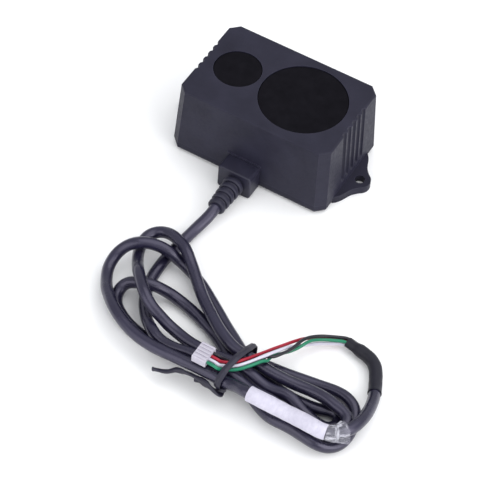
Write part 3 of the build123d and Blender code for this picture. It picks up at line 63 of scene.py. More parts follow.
LEAD_LINE = [
    (-0.3, -34.56, 4.6), (-0.3, -35.45, 4.6),
    (-0.3, -36.2, 4.6), (-0.49, -38.88, 4.12), (-1.01, -41.48, 3.38), (-1.67, -44.1, 2.72),
    (-2.24, -46.82, 2.28), (-2.66, -49.63, 2.07), (-3, -52.49, 2.02), (-3.3, -55.34, 2.02),
    (-3.6, -58.16, 2.02), (-3.74, -60.97, 2.02), (-3.68, -63.8, 2.02), (-3.53, -66.62, 2.02),
    (-3.16, -69.44, 2.02), (-2.46, -72.26, 2.02), (-1.43, -75.1, 2.18), (-0.07, -77.93, 2.78),
    (1.66, -80.67, 3.45), (3.65, -83.27, 4.17), (5.82, -85.63, 5.09), (8.1, -87.61, 6),
    (10.39, -89.14, 6.28), (12.78, -90.09, 6.23), (15.29, -90.51, 6.35), (17.85, -90.61, 6.67),
    (20.48, -90.49, 7.12), (23.23, -90.36, 7.59), (26.07, -90.33, 7.96), (28.94, -90.32, 8.16),
    (31.79, -90.25, 8.23), (34.61, -90.21, 8.13), (37.38, -90.4, 7.76), (40.12, -90.9, 7.25),
    (42.87, -91.49, 6.96), (45.66, -91.87, 6.97), (48.47, -91.85, 6.94), (51.17, -91.5, 6.39),
    (53.51, -91.17, 5.02), (55.63, -91.23, 3.31), (58, -91.78, 2.26), (60.59, -92.42, 2.06),
    (63.22, -92.83, 2.45), (65.74, -92.76, 3.39), (68.14, -92.19, 4.48), (70.47, -91.24, 5.29),
    (72.4, -89.62, 5.85), (73.23, -87.25, 6.14), (72.29, -84.93, 6.2), (70.06, -83.7, 6.27),
    (67.54, -83.1, 6.32), (64.88, -82.44, 6.26), (62.05, -81.95, 6.01), (59.17, -81.8, 5.74),
    (56.32, -81.92, 5.59), (53.51, -82.19, 5.64), (50.75, -82.45, 5.87), (48.02, -82.59, 6.09),
    (45.29, -82.55, 6.27), (42.58, -82.32, 6.49), (39.88, -82.03, 6.72), (37.13, -81.81, 6.86),
    (34.35, -81.54, 6.84), (31.63, -80.77, 6.76), (29.01, -79.51, 6.65), (26.47, -78, 6.52),
    (24.02, -76.38, 6.38), (21.65, -74.65, 6.21), (19.34, -72.87, 6.02), (17.07, -71.07, 5.91),
    (14.84, -69.25, 5.9), (12.72, -67.39, 5.99), (10.71, -65.48, 6.14), (8.77, -63.59, 6.31),
    (6.85, -61.77, 6.54), (4.89, -60.06, 6.93), (2.88, -58.38, 7.4), (0.65, -56.74, 7.46),
    (-1.83, -55.37, 6.99), (-4.36, -54.2, 6.32), (-6.91, -53.53, 5.5), (-9.4, -53.81, 4.73),
    (-11.35, -55.44, 4.28), (-12.17, -58.02, 4.09), (-11.94, -60.89, 4.07),
    (-11.02, -63.73, 4.3), (-9.68, -66.45, 5.02), (-8.18, -69.01, 6.17), (-6.68, -71.33, 7.74),
    (-5.2, -73.5, 9.36), (-3.53, -75.61, 10.19), (-1.82, -77.54, 10.72), (-0.04, -79.4, 11.06),
    (1.89, -81.12, 10.9), (4, -82.43, 10.15), (6.29, -83.16, 8.96), (8.62, -83.39, 7.56),
    (10.94, -83.64, 6.2), (13.45, -84.01, 5.42), (16.1, -84.6, 5.21), (18.83, -85.3, 5.35),
    (21.62, -85.91, 5.68), (24.45, -86.29, 6.02), (27.33, -86.4, 6.24), (30.21, -86.3, 6.5),
    (33.1, -86.08, 6.89), (35.99, -86.03, 7.17), (38.84, -86.26, 7.01), (41.6, -86.6, 6.44),
    (44.29, -87.02, 5.69), (47.02, -87.31, 5.22), (49.82, -87.27, 5.29), (52.65, -87.01, 5.63),
    (55.48, -87.22, 5.56), (58.14, -87.9, 4.77), (60.74, -88.34, 3.64), (63.39, -88.53, 2.62),
    (66.13, -88.7, 2.09), (68.68, -88.07, 2.02), (69.91, -85.87, 2.02), (68.94, -83.53, 2.02),
    (66.51, -82.82, 2.02), (63.85, -83.61, 2.02), (61.12, -84.28, 2.02), (58.33, -84.58, 2.02),
    (55.53, -84.72, 2.02), (52.74, -84.62, 2.02), (49.96, -84.32, 2.02), (47.19, -83.92, 2.03),
    (44.45, -83.62, 2.12), (41.73, -83.63, 2.42), (39.02, -83.83, 2.87), (36.26, -83.69, 3.07),
    (33.51, -82.91, 2.81), (30.92, -81.48, 2.53), (28.47, -79.8, 2.34), (26.04, -78.17, 2.18),
    (23.54, -76.75, 2.06), (20.95, -75.58, 2.02), (18.32, -74.55, 2.02), (15.68, -73.59, 2.02),
    (13.02, -72.71, 2.02), (10.32, -72, 2.08), (7.64, -71.63, 2.46), (5.12, -71.76, 3.34),
    (2.81, -72.4, 4.58), (0.46, -73.28, 5.75), (-2.14, -74.15, 6.12), (-4.83, -74.78, 5.34),
    (-7.29, -75.56, 4.29), (-8.68, -77.29, 3), (-8.6, -79.73, 2.14), (-7.4, -82.15, 2.02),
    (-5.43, -84.11, 2.02), (-3.07, -85.65, 2.02), (-0.53, -86.88, 2.02), (2.13, -87.82, 2.02),
    (4.87, -88.51, 2.02), (7.68, -88.83, 2.02), (10.5, -88.79, 2.02), (13.3, -88.77, 2.02),
    (16.1, -88.72, 2.02), (18.9, -88.55, 2.02), (21.7, -88.29, 2.02), (24.5, -87.93, 2.02),
    (27.31, -87.5, 2.05), (30.19, -87.25, 2.26), (33.09, -87.45, 2.79), (35.92, -87.93, 3.27),
    (38.62, -88.35, 3.19), (41.13, -89.14, 2.85), (43.52, -90.41, 2.66), (45.97, -91.81, 2.64),
    (48.58, -93.15, 2.83), (51.32, -94.42, 3.25), (54.2, -95.26, 3.83), (57.15, -95.55, 4.33),
    (60.07, -95.83, 4.74), (62.95, -96.29, 5.07), (65.78, -96.69, 5.11), (68.52, -96.51, 4.47),
    (70.96, -95.4, 3.39), (72.92, -93.38, 2.47), (74.14, -90.76, 2.06), (74.51, -87.87, 2.02),
    (74.32, -84.91, 2.02), (73.69, -81.99, 2.09), (72.34, -79.36, 2.36), (70.18, -77.42, 2.67),
    (67.51, -76.36, 2.71), (64.68, -76.01, 2.5), (61.89, -76.07, 2.24), (59.17, -76.37, 2.06),
    (56.49, -76.78, 2.02), (53.8, -77.22, 2.02), (51.09, -77.63, 2.02), (48.38, -77.98, 2.02),
    (45.68, -78.31, 2.08), (42.99, -78.75, 2.31), (40.32, -79.29, 2.7), (37.63, -79.52, 3.06),
    (35.03, -78.91, 2.93), (32.61, -77.46, 2.48), (30.21, -75.78, 2.19), (27.8, -74.16, 2.07),
    (25.42, -72.61, 2.02), (23.07, -71.05, 2.02), (20.75, -69.46, 2.02), (18.44, -67.86, 2.02),
    (16.12, -66.27, 2.02), (13.76, -64.71, 2.02), (11.35, -63.21, 2.02), (8.85, -61.8, 2.03),
    (6.23, -60.59, 2.19), (3.55, -59.78, 2.75), (0.97, -59.61, 3.83), (-1.33, -59.91, 5.43),
    (-3.69, -60.32, 6.81), (-6.18, -61.01, 7.75), (-8.66, -62.08, 8.37), (-11.06, -63.49, 8.51),
    (-13.23, -65.09, 7.83), (-14.9, -66.94, 6.51), (-15.85, -69.14, 5.12),
    (-15.97, -71.68, 4.13), (-15.36, -74.34, 3.74), (-14.14, -76.9, 3.83),
    (-12.69, -79.32, 4.35), (-11.11, -81.54, 5.13), (-9.33, -83.5, 5.78), (-7.49, -85.34, 6.41),
    (-5.52, -87.09, 6.96), (-3.32, -88.69, 7.27), (-0.91, -90.09, 7.34), (1.65, -91.33, 7.3),
    (4.34, -92.39, 7.28), (7.16, -93.22, 7.37), (10.08, -93.82, 7.61), (13.05, -94.26, 7.96),
    (16.04, -94.5, 8.32), (19.02, -94.57, 8.59), (21.98, -94.54, 8.78), (24.91, -94.53, 8.97),
    (27.81, -94.55, 9.11), (30.67, -94.54, 9.1), (33.47, -94.5, 8.91), (36.19, -94.52, 8.8),
    (38.75, -94.68, 9.2), (41.03, -95.18, 10.26), (43.12, -95.99, 11.56), (45.37, -96.74, 12.57),
    (47.92, -96.94, 12.77), (50.47, -96.51, 12.11), (52.97, -95.87, 11.12),
    (55.55, -95.38, 10.35), (58.26, -95.19, 10.04), (61.04, -95.22, 10.12),
    (63.85, -95.32, 10.25), (66.65, -95.38, 10.15), (69.39, -95.21, 9.87), (72.01, -94.41, 9.73),
    (74.27, -92.76, 9.77), (75.82, -90.34, 9.55), (76.61, -87.48, 8.92), (76.84, -84.53, 8.02),
    (76.71, -81.61, 6.98), (76.33, -78.76, 5.92), (75.78, -75.96, 4.89), (75.03, -73.22, 3.96),
    (74.06, -70.53, 3.21), (72.91, -67.88, 2.68), (71.68, -65.26, 2.42), (70.26, -62.75, 2.37),
    (68.29, -60.69, 2.37), (65.67, -59.52, 2.37), (62.74, -58.89, 2.4),
]
SLEEVE_LINE = [
    (74.34, -71.25, 3.39), (73.4, -68.99, 2.87), (72.38, -66.73, 2.54), (71.28, -64.48, 2.39),
    (69.97, -62.34, 2.37), (68.16, -60.61, 2.37), (65.88, -59.58, 2.37), (63.44, -59.02, 2.39),
    (60.97, -58.6, 2.47), (58.5, -58.2, 2.59),
]
LABEL_LINE = [
    (46.4, -96.9, 12.76), (48.47, -96.89, 12.69), (50.44, -96.52, 12.12), (52.31, -96.03, 11.38),
    (54.22, -95.59, 10.7), (56.22, -95.3, 10.23), (58.28, -95.19, 10.04), (60.35, -95.2, 10.08),
    (62.42, -95.27, 10.2), (64.49, -95.35, 10.25), (66.56, -95.38, 10.15), (68.63, -95.3, 9.94),
    (70.66, -94.93, 9.77),
]
FILM_LINE = [
    (70.71, -94.91, 9.77), (72.02, -94.41, 9.73), (73.23, -93.68, 9.75), (74.29, -92.74, 9.77),
    (75.14, -91.62, 9.71),
]
WIRE_LINES = {
    "black": [
        (62.57, -58.24, 3.03), (61.45, -58.01, 3.08), (60.33, -57.78, 3.13),
        (59.21, -57.55, 3.19), (57.88, -57.64, 3.29), (56.2, -58.43, 3.46), (54.51, -59.38, 3.62),
        (52.93, -60.35, 3.8), (51.74, -61.2, 4.02), (50.9, -62.02, 4.32), (50.22, -62.9, 4.72),
        (49.61, -63.84, 5.15), (49.06, -64.83, 5.59), (48.61, -65.88, 6.01), (48.27, -66.99, 6.42),
        (48.01, -68.16, 6.84), (47.85, -69.39, 7.22), (47.7, -70.64, 7.5), (47.52, -71.88, 7.67),
        (47.28, -73.07, 7.83), (46.95, -74.22, 8.04), (46.56, -75.34, 8.32), (46.13, -76.44, 8.61),
        (45.7, -77.54, 8.89), (45.23, -78.59, 9.11), (44.63, -79.52, 9.32), (43.81, -80.19, 9.53),
        (42.88, -80.79, 9.43), (42.34, -81.71, 9.16), (41.92, -82.72, 9.17), (41.37, -83.64, 9.27),
        (40.78, -84.52, 9.48), (40.2, -85.38, 9.74), (39.61, -86.2, 9.93), (38.93, -86.91, 9.9),
        (38.1, -87.4, 9.68), (37.19, -87.68, 9.35), (36.2, -87.8, 9.16), (35.2, -87.88, 9.31),
        (34.3, -88.17, 9.81), (33.57, -88.68, 10.52), (33.07, -89.24, 11.36),
        (32.58, -89.78, 12.18), (31.81, -90.16, 12.77), (30.78, -90.25, 12.9),
        (30.24, -90.24, 12.9),
    ],
    "green": [
        (62.37, -59.46, 3.03), (61.24, -59.32, 3.08), (60.11, -59.18, 3.13),
        (58.98, -59.04, 3.19), (57.67, -59.2, 3.3), (56.07, -60.02, 3.51), (54.5, -61.01, 3.75),
        (53.02, -62.04, 4.01), (51.92, -63, 4.34), (51.12, -63.96, 4.77), (50.47, -64.96, 5.26),
        (49.93, -66.02, 5.74), (49.51, -67.13, 6.11), (49.17, -68.26, 6.3), (48.8, -69.38, 6.34),
        (48.37, -70.46, 6.33), (47.86, -71.52, 6.36), (47.26, -72.57, 6.43), (46.63, -73.6, 6.54),
        (45.98, -74.6, 6.71), (45.33, -75.59, 6.97), (44.71, -76.6, 7.3), (44.19, -77.65, 7.66),
        (43.82, -78.79, 7.99), (43.69, -80.07, 8.26), (43.73, -81.39, 8.83), (43.37, -82.44, 9.69),
        (42.92, -83.49, 10.26), (42.47, -84.54, 10.61), (42, -85.59, 10.85),
        (41.49, -86.61, 11.05), (40.95, -87.58, 11.2), (40.34, -88.48, 11.23),
        (39.66, -89.26, 11.1), (38.87, -89.92, 10.87), (37.99, -90.52, 10.66),
        (37.05, -91.13, 10.59), (36.09, -91.79, 10.74), (35.21, -92.53, 11.12),
        (34.58, -93.32, 11.7), (34.2, -93.99, 12.45), (33.71, -94.36, 13.13),
        (32.87, -94.3, 13.26), (31.89, -94.07, 13), (30.79, -94, 12.9), (30.22, -93.99, 12.9),
    ],
    "white": [
        (62.31, -59.45, 1.79), (61.18, -59.31, 1.84), (60.04, -59.17, 1.9), (58.91, -59.03, 1.95),
        (57.63, -59.18, 2.01), (56.13, -60, 2.11), (54.66, -60.98, 2.24), (53.28, -61.99, 2.41),
        (52.23, -62.91, 2.67), (51.44, -63.81, 3.03), (50.76, -64.75, 3.44), (50.11, -65.73, 3.86),
        (49.46, -66.71, 4.28), (48.78, -67.69, 4.7), (48.11, -68.68, 5.13), (47.48, -69.67, 5.58),
        (46.89, -70.65, 6.1), (46.38, -71.66, 6.69), (45.96, -72.73, 7.3), (45.59, -73.86, 7.87),
        (45.24, -75.02, 8.42), (44.89, -76.19, 8.97), (44.55, -77.36, 9.54), (44.24, -78.53, 10.14),
        (43.92, -79.65, 10.66), (43.46, -80.68, 10.81), (42.87, -81.51, 10.67),
        (42.22, -82.25, 10.52), (41.7, -83.12, 10.5), (41.25, -84.07, 10.65),
        (40.81, -85.04, 10.86), (40.35, -85.99, 11.06), (39.84, -86.91, 11.2),
        (39.27, -87.75, 11.21), (38.61, -88.47, 11.08), (37.83, -89.08, 10.87),
        (36.98, -89.64, 10.69), (36.06, -90.21, 10.65), (35.13, -90.83, 10.79),
        (34.35, -91.52, 11.15), (33.86, -92.19, 11.75), (33.47, -92.66, 12.47),
        (32.78, -92.84, 12.94), (31.84, -92.78, 12.95), (30.77, -92.75, 12.9),
        (30.23, -92.74, 12.9),
    ],
    "red": [
        (62.5, -58.23, 1.79), (61.39, -58, 1.84), (60.27, -57.77, 1.9), (59.15, -57.54, 1.95),
        (57.8, -57.66, 2.01), (56.05, -58.52, 2.12), (54.3, -59.53, 2.26), (52.65, -60.55, 2.43),
        (51.42, -61.38, 2.64), (50.51, -62.13, 2.97), (49.76, -62.91, 3.39), (49.08, -63.73, 3.86),
        (48.43, -64.58, 4.34), (47.84, -65.48, 4.8), (47.31, -66.42, 5.21), (46.83, -67.4, 5.58),
        (46.38, -68.39, 5.94), (45.94, -69.38, 6.29), (45.53, -70.38, 6.62), (45.1, -71.38, 6.92),
        (44.64, -72.38, 7.19), (44.17, -73.38, 7.44), (43.68, -74.37, 7.67), (43.19, -75.37, 7.89),
        (42.72, -76.36, 8.12), (42.26, -77.37, 8.36), (41.81, -78.37, 8.61), (41.37, -79.39, 8.86),
        (40.93, -80.4, 9.13), (40.49, -81.42, 9.4), (40.05, -82.44, 9.68), (39.62, -83.47, 9.97),
        (39.19, -84.49, 10.27), (38.73, -85.48, 10.59), (38.24, -86.43, 10.87),
        (37.71, -87.31, 10.95), (37.03, -88.02, 10.84), (36.22, -88.58, 10.66),
        (35.33, -89.11, 10.59), (34.43, -89.7, 10.76), (33.7, -90.35, 11.16),
        (33.22, -90.93, 11.8), (32.67, -91.31, 12.47), (31.82, -91.48, 12.85),
        (30.78, -91.5, 12.9), (30.24, -91.49, 12.9),
    ],
}
TIE_SHORT_LINE = [
    (37.89, -95.42, 6.13), (36.72, -96.11, 6.45), (35.66, -96.31, 5.54), (34.69, -96.05, 4.61),
    (33, -95.49, 4.18), (31.12, -94.97, 3.76), (29.23, -94.63, 3.27), (27.33, -94.44, 2.79),
]
TIE_LONG_LINE = [
    (36.29, -94.7, 6.07), (36.86, -95.57, 4.99), (37.11, -97.04, 5.3), (36.21, -97.88, 6.6),
    (34.65, -97.98, 7.7), (32.85, -97.57, 8.05), (30.97, -97.02, 8), (29.08, -96.9, 7.76),
    (27.22, -96.75, 7.49), (25.41, -96.77, 7.24), (23.64, -96.82, 6.84), (22.07, -96.98, 6.33),
    (20.77, -97.81, 5.73), (19.22, -98.37, 5.13), (17.42, -98.6, 4.62), (15.57, -98.88, 4.18),
]


# ------------------------------------------------------------- lines and tubes

def path_lengths(points):
    """Distance along a polyline at each of its points."""
    return np.r_[0, np.cumsum(np.linalg.norm(np.diff(points, axis=0), axis=1))]


def spline(points, step):
    """Even samples of the natural cubic line through points, and the distance at each."""
    knots = np.asarray(points, float)
    gaps = np.linalg.norm(np.diff(knots, axis=0), axis=1)
    along = path_lengths(knots)
    count = len(knots)

    # second derivatives at the knots, zero at both ends
    system = np.zeros((count, count))
    target = np.zeros((count, 3))
    system[0, 0] = system[-1, -1] = 1
    for i in range(1, count - 1):
        system[i, i - 1:i + 2] = gaps[i - 1], 2 * (gaps[i - 1] + gaps[i]), gaps[i]
        target[i] = 6 * ((knots[i + 1] - knots[i]) / gaps[i]
                         - (knots[i] - knots[i - 1]) / gaps[i - 1])
    bends = np.linalg.solve(system, target)

    x = np.linspace(0, along[-1], 12 * count)
    i = np.clip(np.searchsorted(along, x) - 1, 0, count - 2)
    gap = gaps[i][:, None]
    past = (x - along[i])[:, None]
    left = (along[i + 1] - x)[:, None]
    fine = ((bends[i] * left**3 + bends[i + 1] * past**3) / (6 * gap)
            + (knots[i] / gap - bends[i] * gap / 6) * left
            + (knots[i + 1] / gap - bends[i + 1] * gap / 6) * past)

    fine_along = path_lengths(fine)
    samples = max(3, int(round(fine_along[-1] / step)) + 1)
    even = np.linspace(0, fine_along[-1], samples)
    return np.stack([np.interp(even, fine_along, fine[:, c]) for c in range(3)], 1), even


def untwisted_frames(points, up):
    """Tangent and two cross directions along points, without twist."""
    tangents = np.gradient(points, axis=0)
    tangents /= np.linalg.norm(tangents, axis=1)[:, None]
    side = np.array(up, float)
    if abs(side @ tangents[0]) > 0.95:
        side = np.array((1.0, 0.0, 0.0))
    normals = np.zeros_like(tangents)
    for i, tangent in enumerate(tangents):
        side = side - tangent * (side @ tangent)
        side /= np.linalg.norm(side)
        normals[i] = side
    return tangents, normals, np.cross(tangents, normals)


def circle(radius, angles):
    return radius * np.cos(angles), radius * np.sin(angles)


def skin(name, rings, distances, material, capped):
    """Mesh through rings of points: capped at both ends, or closed from the last ring to
    the first. UV is the distance in mm by the part of a turn."""
    sides = len(rings[0])
    rows = [range(i * sides, (i + 1) * sides) for i in range(len(rings))]
    if not capped:
        rows.append(rows[0])
    faces = []
    for row, following in zip(rows, rows[1:]):
        for j in range(sides):
            k = (j + 1) % sides
            faces.append((row[j], row[k], following[k], following[j]))
    if capped:
        faces.append(tuple(rows[0][::-1]))
        faces.append(tuple(rows[-1]))

    mesh = bpy.data.meshes.new(name)
    mesh.from_pydata([tuple(v) for v in np.concatenate(rings) * MM], [], faces)
    layer = mesh.uv_layers.new(name="UVMap")
    corners = np.zeros(len(mesh.loops), np.int32)
    mesh.loops.foreach_get("vertex_index", corners)
    turns = np.tile(np.arange(sides) / sides, len(rings))
    uv = np.stack([np.repeat(distances, sides)[corners], turns[corners]], 1)
    # at the seam, carry on past one turn instead of running backwards
    for face in mesh.polygons:
        turn = uv[face.loop_start:face.loop_start + face.loop_total, 1]
        if face.loop_total == 4 and turn.max() - turn.min() > 0.5:
            turn[turn < 0.5] += 1.0
    layer.data.foreach_set("uv", uv.astype(np.float32).ravel())
    mesh.polygons.foreach_set("use_smooth", [True] * len(mesh.polygons))
    mesh.validate()
    mesh.update()
    mesh.set_sharp_from_angle(angle=math.radians(50))
    mesh.materials.append(material)
    obj = bpy.data.objects.new(name, mesh)
    bpy.context.scene.collection.objects.link(obj)
    return obj


def tube(name, path, section, material, sides, up=(0, 0, 1), cap=0.0):
    """Solid tube. section(distance, angles) gives x, y across the path; cap is how far the
    drawn-in ends reach past it."""
    points, distances = path
    tangents, normals, binormals = untwisted_frames(points, up)
    angles = np.linspace(0, FULL_TURN, sides, endpoint=False)
    # station, shift along the tangent, scale of the section
    stations = [(i, 0.0, 1.0) for i in range(len(points))]
    if cap:
        stations = ([(0, -cap, 0.72), (0, -0.4 * cap, 0.93)] + stations
                    + [(-1, 0.4 * cap, 0.93), (-1, cap, 0.72)])
    rings = []
    for i, shift, scale in stations:
        x, y = section(distances[i], angles)
        rings.append(points[i] + tangents[i] * shift
                     + np.outer(x * scale, normals[i]) + np.outer(y * scale, binormals[i]))
    return skin(name, rings, [distances[i] for i, _, _ in stations], material, capped=True)


def pipe(name, path, radius, wall, material, sides):
    """Open-bored tube. radius(distance, angles) is its outside."""
    points, distances = path
    _, normals, binormals = untwisted_frames(points, (0, 0, 1))
    angles = np.linspace(0, FULL_TURN, sides, endpoint=False)
    out = list(range(len(points)))
    rings = []
    for order, inset in ((out, 0.0), (out[::-1], wall)):
        for i in order:
            x, y = circle(radius(distances[i], angles) - inset, angles)
            rings.append(points[i] + np.outer(x, normals[i]) + np.outer(y, binormals[i]))
    return skin(name, rings, np.r_[distances, distances[::-1]], material, capped=False)


# ------------------------------------------------------------------- materials

def srgb(*channels):
    """Linear RGBA from 0-255 sRGB channels."""
    def linear(c):
        c /= 255.0
        return c / 12.92 if c <= 0.04045 else ((c + 0.055) / 1.055) ** 2.4
    return tuple(linear(c) for c in channels) + (1.0,)


def darker(colour, factor):
    return tuple(c * factor for c in colour[:3]) + (1.0,)


class Shader:
    """A material with one Principled surface, and short ways to add nodes to it.
    An input's value is either a constant or the socket that drives it."""

    def __init__(self, name):
        self.material = bpy.data.materials.new(name)
        self.material.use_nodes = True
        self.tree = self.material.node_tree
        self.tree.nodes.clear()
        output = self.tree.nodes.new("ShaderNodeOutputMaterial")
        self.surface = self.tree.nodes.new("ShaderNodeBsdfPrincipled")
        self.tree.links.new(self.surface.outputs[0], output.inputs[0])

    def feed(self, target, inputs):
        for key, value in inputs.items():
            if isinstance(value, bpy.types.NodeSocket):
                self.tree.links.new(value, target.inputs[key])
            else:
                target.inputs[key].default_value = value

    def node(self, kind, inputs, **settings):
        made = self.tree.nodes.new("ShaderNode" + kind)
        for key, value in settings.items():
            setattr(made, key, value)
        self.feed(made, inputs)
        return made

    def shade(self, inputs):
        self.feed(self.surface, inputs)

    def position(self):
        return self.node("TexCoord", {}).outputs["Object"]

    def uv(self):
        return self.node("UVMap", {}).outputs[0]

    def stretch(self, vector, scale):
        return self.node("Mapping", {"Vector": vector, "Scale": scale}).outputs[0]

    def noise(self, vector, scale, detail=3.0, rough=0.55):
        return self.node("TexNoise", {"Vector": vector, "Scale": scale, "Detail": detail,
                                      "Roughness": rough}).outputs["Fac"]

    def ramp(self, value, to=(0.0, 1.0), source=(0.3, 0.7)):
        return self.node("MapRange", {
            "Value": value, "From Min": source[0], "From Max": source[1],
            "To Min": to[0], "To Max": to[1]}).outputs["Result"]

    def mix(self, factor, first, second):
        return self.node("Mix", {0: factor, 6: first, 7: second}, data_type="RGBA").outputs[2]

    def maths(self, operation, first, second):
        return self.node("Math", {0: first, 1: second}, operation=operation).outputs[0]

    def weighted(self, first, first_weight, second, second_weight):
        return self.maths("ADD", self.maths("MULTIPLY", first, first_weight),
                          self.maths("MULTIPLY", second, second_weight))

    def bump(self, height, depth):
        bump = self.node("Bump", {"Strength": 1.0, "Distance": depth * MM, "Height": height})
        self.shade({"Normal": bump.outputs[0]})


def plastic(name, dark, light, rough, grain=0.18, depth=0.006, edge_wear_and_highlight=None, wear_highlight_radius=0.22,
            spec=0.5, subsurface=0.0):
    """Moulded plastic: fine spark-eroded grain, slow tone drift and, with an edge colour,
    paler edges, partly rubbed wear and partly a painted highlight. 1000 / size in mm is a noise
    scale per metre."""
    sh = Shader(name)
    position = sh.position()
    slow = sh.noise(position, scale=1000.0 / 9.0, detail=4.0)
    fine = sh.noise(position, scale=1000.0 / grain, detail=2.0, rough=0.6)
    mid = sh.noise(position, scale=1000.0 / (grain * 7))
    colour = sh.mix(sh.ramp(slow), dark, light)
    if edge_wear_and_highlight is not None:
        # the bevelled normal leaves the true one only close to an edge
        bevel = sh.node("Bevel", {"Radius": wear_highlight_radius * MM}, samples=6)
        geometry = sh.node("NewGeometry", {})
        dot = sh.node("VectorMath", {0: bevel.outputs[0], 1: geometry.outputs["Normal"]},
                      operation="DOT_PRODUCT")
        edge = sh.ramp(dot.outputs["Value"], source=(0.995, 0.86))
        # paler edges: partly rubbed wear, partly a painted highlight where the rounded edges would
        # catch the light
        worn_and_lit = sh.maths("MULTIPLY", edge, sh.ramp(mid, to=(0.35, 1.0)))
        colour = sh.mix(worn_and_lit, colour, edge_wear_and_highlight)
    sh.shade({"Base Color": colour, "Roughness": sh.ramp(mid, to=rough),
              "Specular IOR Level": spec})
    if subsurface:
        sh.shade({"Subsurface Weight": subsurface, "Subsurface Scale": 1.0,
                  "Subsurface Radius": (0.0012, 0.0010, 0.0009)})
    sh.bump(sh.maths("ADD", fine, sh.maths("MULTIPLY", mid, 0.5)), depth)
    return sh.material


def extruded(name, dark, light, rough, spec, streak=0.05, tint=(1.0, 1.0, 1.0, 1.0)):
    """Extruded plastic: lengthwise die lines streak mm deep, and slow tone drift."""
    sh = Shader(name)
    uv = sh.uv()
    position = sh.position()
    lines = sh.noise(sh.stretch(uv, scale=(0.06, 22.0, 1.0)), scale=1.0, rough=0.6)
    slow = sh.noise(position, scale=70.0)
    fine = sh.noise(position, scale=5200.0, detail=2.0)
    tone = sh.ramp(sh.weighted(lines, 0.35, slow, 0.65))
    sh.shade({"Base Color": sh.mix(tone, dark, light), "Roughness": sh.ramp(slow, to=rough),
              "Specular IOR Level": spec, "Specular Tint": tint})
    sh.bump(sh.weighted(lines, 1.0, fine, 0.35), streak)
    return sh.material


def metal(name, base, rough=(0.22, 0.38)):
    sh = Shader(name)
    position = sh.position()
    blotch = sh.noise(position, scale=900.0, detail=4.0)
    fine = sh.noise(position, scale=4200.0, detail=2.0)
    sh.shade({"Base Color": sh.mix(sh.ramp(blotch), darker(base, 0.72), base),
              "Roughness": sh.ramp(fine, to=rough), "Metallic": 1.0})
    sh.bump(fine, depth=0.01)
    return sh.material


def infrared_window():
    """Polished infrared-pass acrylic: nearly black, with faint polishing haze."""
    sh = Shader("ir_window")
    position = sh.position()
    haze = sh.noise(position, scale=260.0, detail=5.0, rough=0.6)
    fine = sh.noise(position, scale=2600.0, detail=2.0)
    sh.shade({"Base Color": sh.mix(sh.ramp(haze), (0.0030, 0.0026, 0.0044, 1),
                                   (0.0052, 0.0046, 0.0072, 1)),
              "Roughness": sh.ramp(haze, to=(0.14, 0.24)),
              "IOR": 1.49, "Specular IOR Level": 0.07})
    sh.bump(fine, depth=0.0015)
    return sh.material


def glass(name, tint):
    sh = Shader(name)
    cloud = sh.noise(sh.position(), scale=300.0, detail=2.0)
    sh.shade({"Base Color": sh.mix(sh.ramp(cloud), tint, darker(tint, 0.9)),
              "Transmission Weight": 0.95, "Roughness": 0.03, "IOR": 1.52})
    return sh.material


def label_vinyl():
    """Matt white vinyl with a faint fibre tone and small creases, darker in colour along the
    creases as painted shade.
    """
    sh = Shader("label_vinyl")
    uv = sh.uv()
    position = sh.position()
    crease = sh.noise(sh.stretch(uv, scale=(0.9, 7.0, 1.0)), scale=1.0, detail=4.0, rough=0.6)
    fibre = sh.noise(position, scale=2600.0, rough=0.6)
    slow = sh.noise(position, scale=160.0, detail=2.0)
    colour = sh.mix(sh.ramp(slow), srgb(190, 187, 202), srgb(206, 203, 216))
    colour = sh.mix(sh.ramp(fibre, to=(0.0, 0.35)), colour, srgb(180, 177, 193))
    # darker along the creases: painted shade in the folds
    colour = sh.mix(sh.ramp(crease, to=(0.0, 0.45)), colour, srgb(158, 155, 174))
    sh.shade({"Base Color": colour, "Roughness": sh.ramp(fibre, to=(0.38, 0.55))})
    sh.bump(sh.weighted(crease, 1.0, fibre, 0.12), depth=0.16)
    return sh.material


def clear_film():
    """Clear laminate: see-through, with a painted highlight along the wrinkles where it is folded,
    and less see-through there.
    """
    sh = Shader("clear_film")
    uv = sh.uv()
    crease = sh.noise(sh.stretch(uv, scale=(0.12, 7.0, 1.0)), scale=1.0, detail=4.0, rough=0.6)
    cross = sh.noise(sh.stretch(uv, scale=(0.55, 1.6, 1.0)), scale=1.0, rough=0.6)
    fold = sh.maths("MAXIMUM", crease, cross)
    # lighter along the wrinkles: painted highlight on the folds
    sh.shade({"Base Color": sh.mix(sh.ramp(crease), (0.42, 0.42, 0.48, 1),
                                   (0.66, 0.65, 0.72, 1)),
              "Roughness": sh.ramp(crease, to=(0.10, 0.26)),
              "Alpha": sh.ramp(fold, to=(0.10, 0.85), source=(0.50, 0.66)), "IOR": 1.45})
    sh.bump(crease, depth=0.12)
    return sh.material


def solder_mask():
    """Green solder mask with a faint weave and tinned vias."""
    sh = Shader("solder_mask")
    position = sh.position()
    weave = sh.node("TexChecker", {"Vector": position, "Scale": 2400.0,
                                   "Color1": (0.010, 0.075, 0.032, 1),
                                   "Color2": (0.013, 0.090, 0.040, 1)})
    cells = sh.node("TexVoronoi", {"Vector": position, "Scale": 320.0})
    vias = sh.ramp(cells.outputs["Distance"], source=(0.16, 0.12))
    sh.shade({"Base Color": sh.mix(vias, weave.outputs["Color"], (0.42, 0.44, 0.42, 1)),
              "Roughness": 0.32})
    sh.bump(sh.noise(position, scale=3000.0, detail=2.0), depth=0.01)
    return sh.material
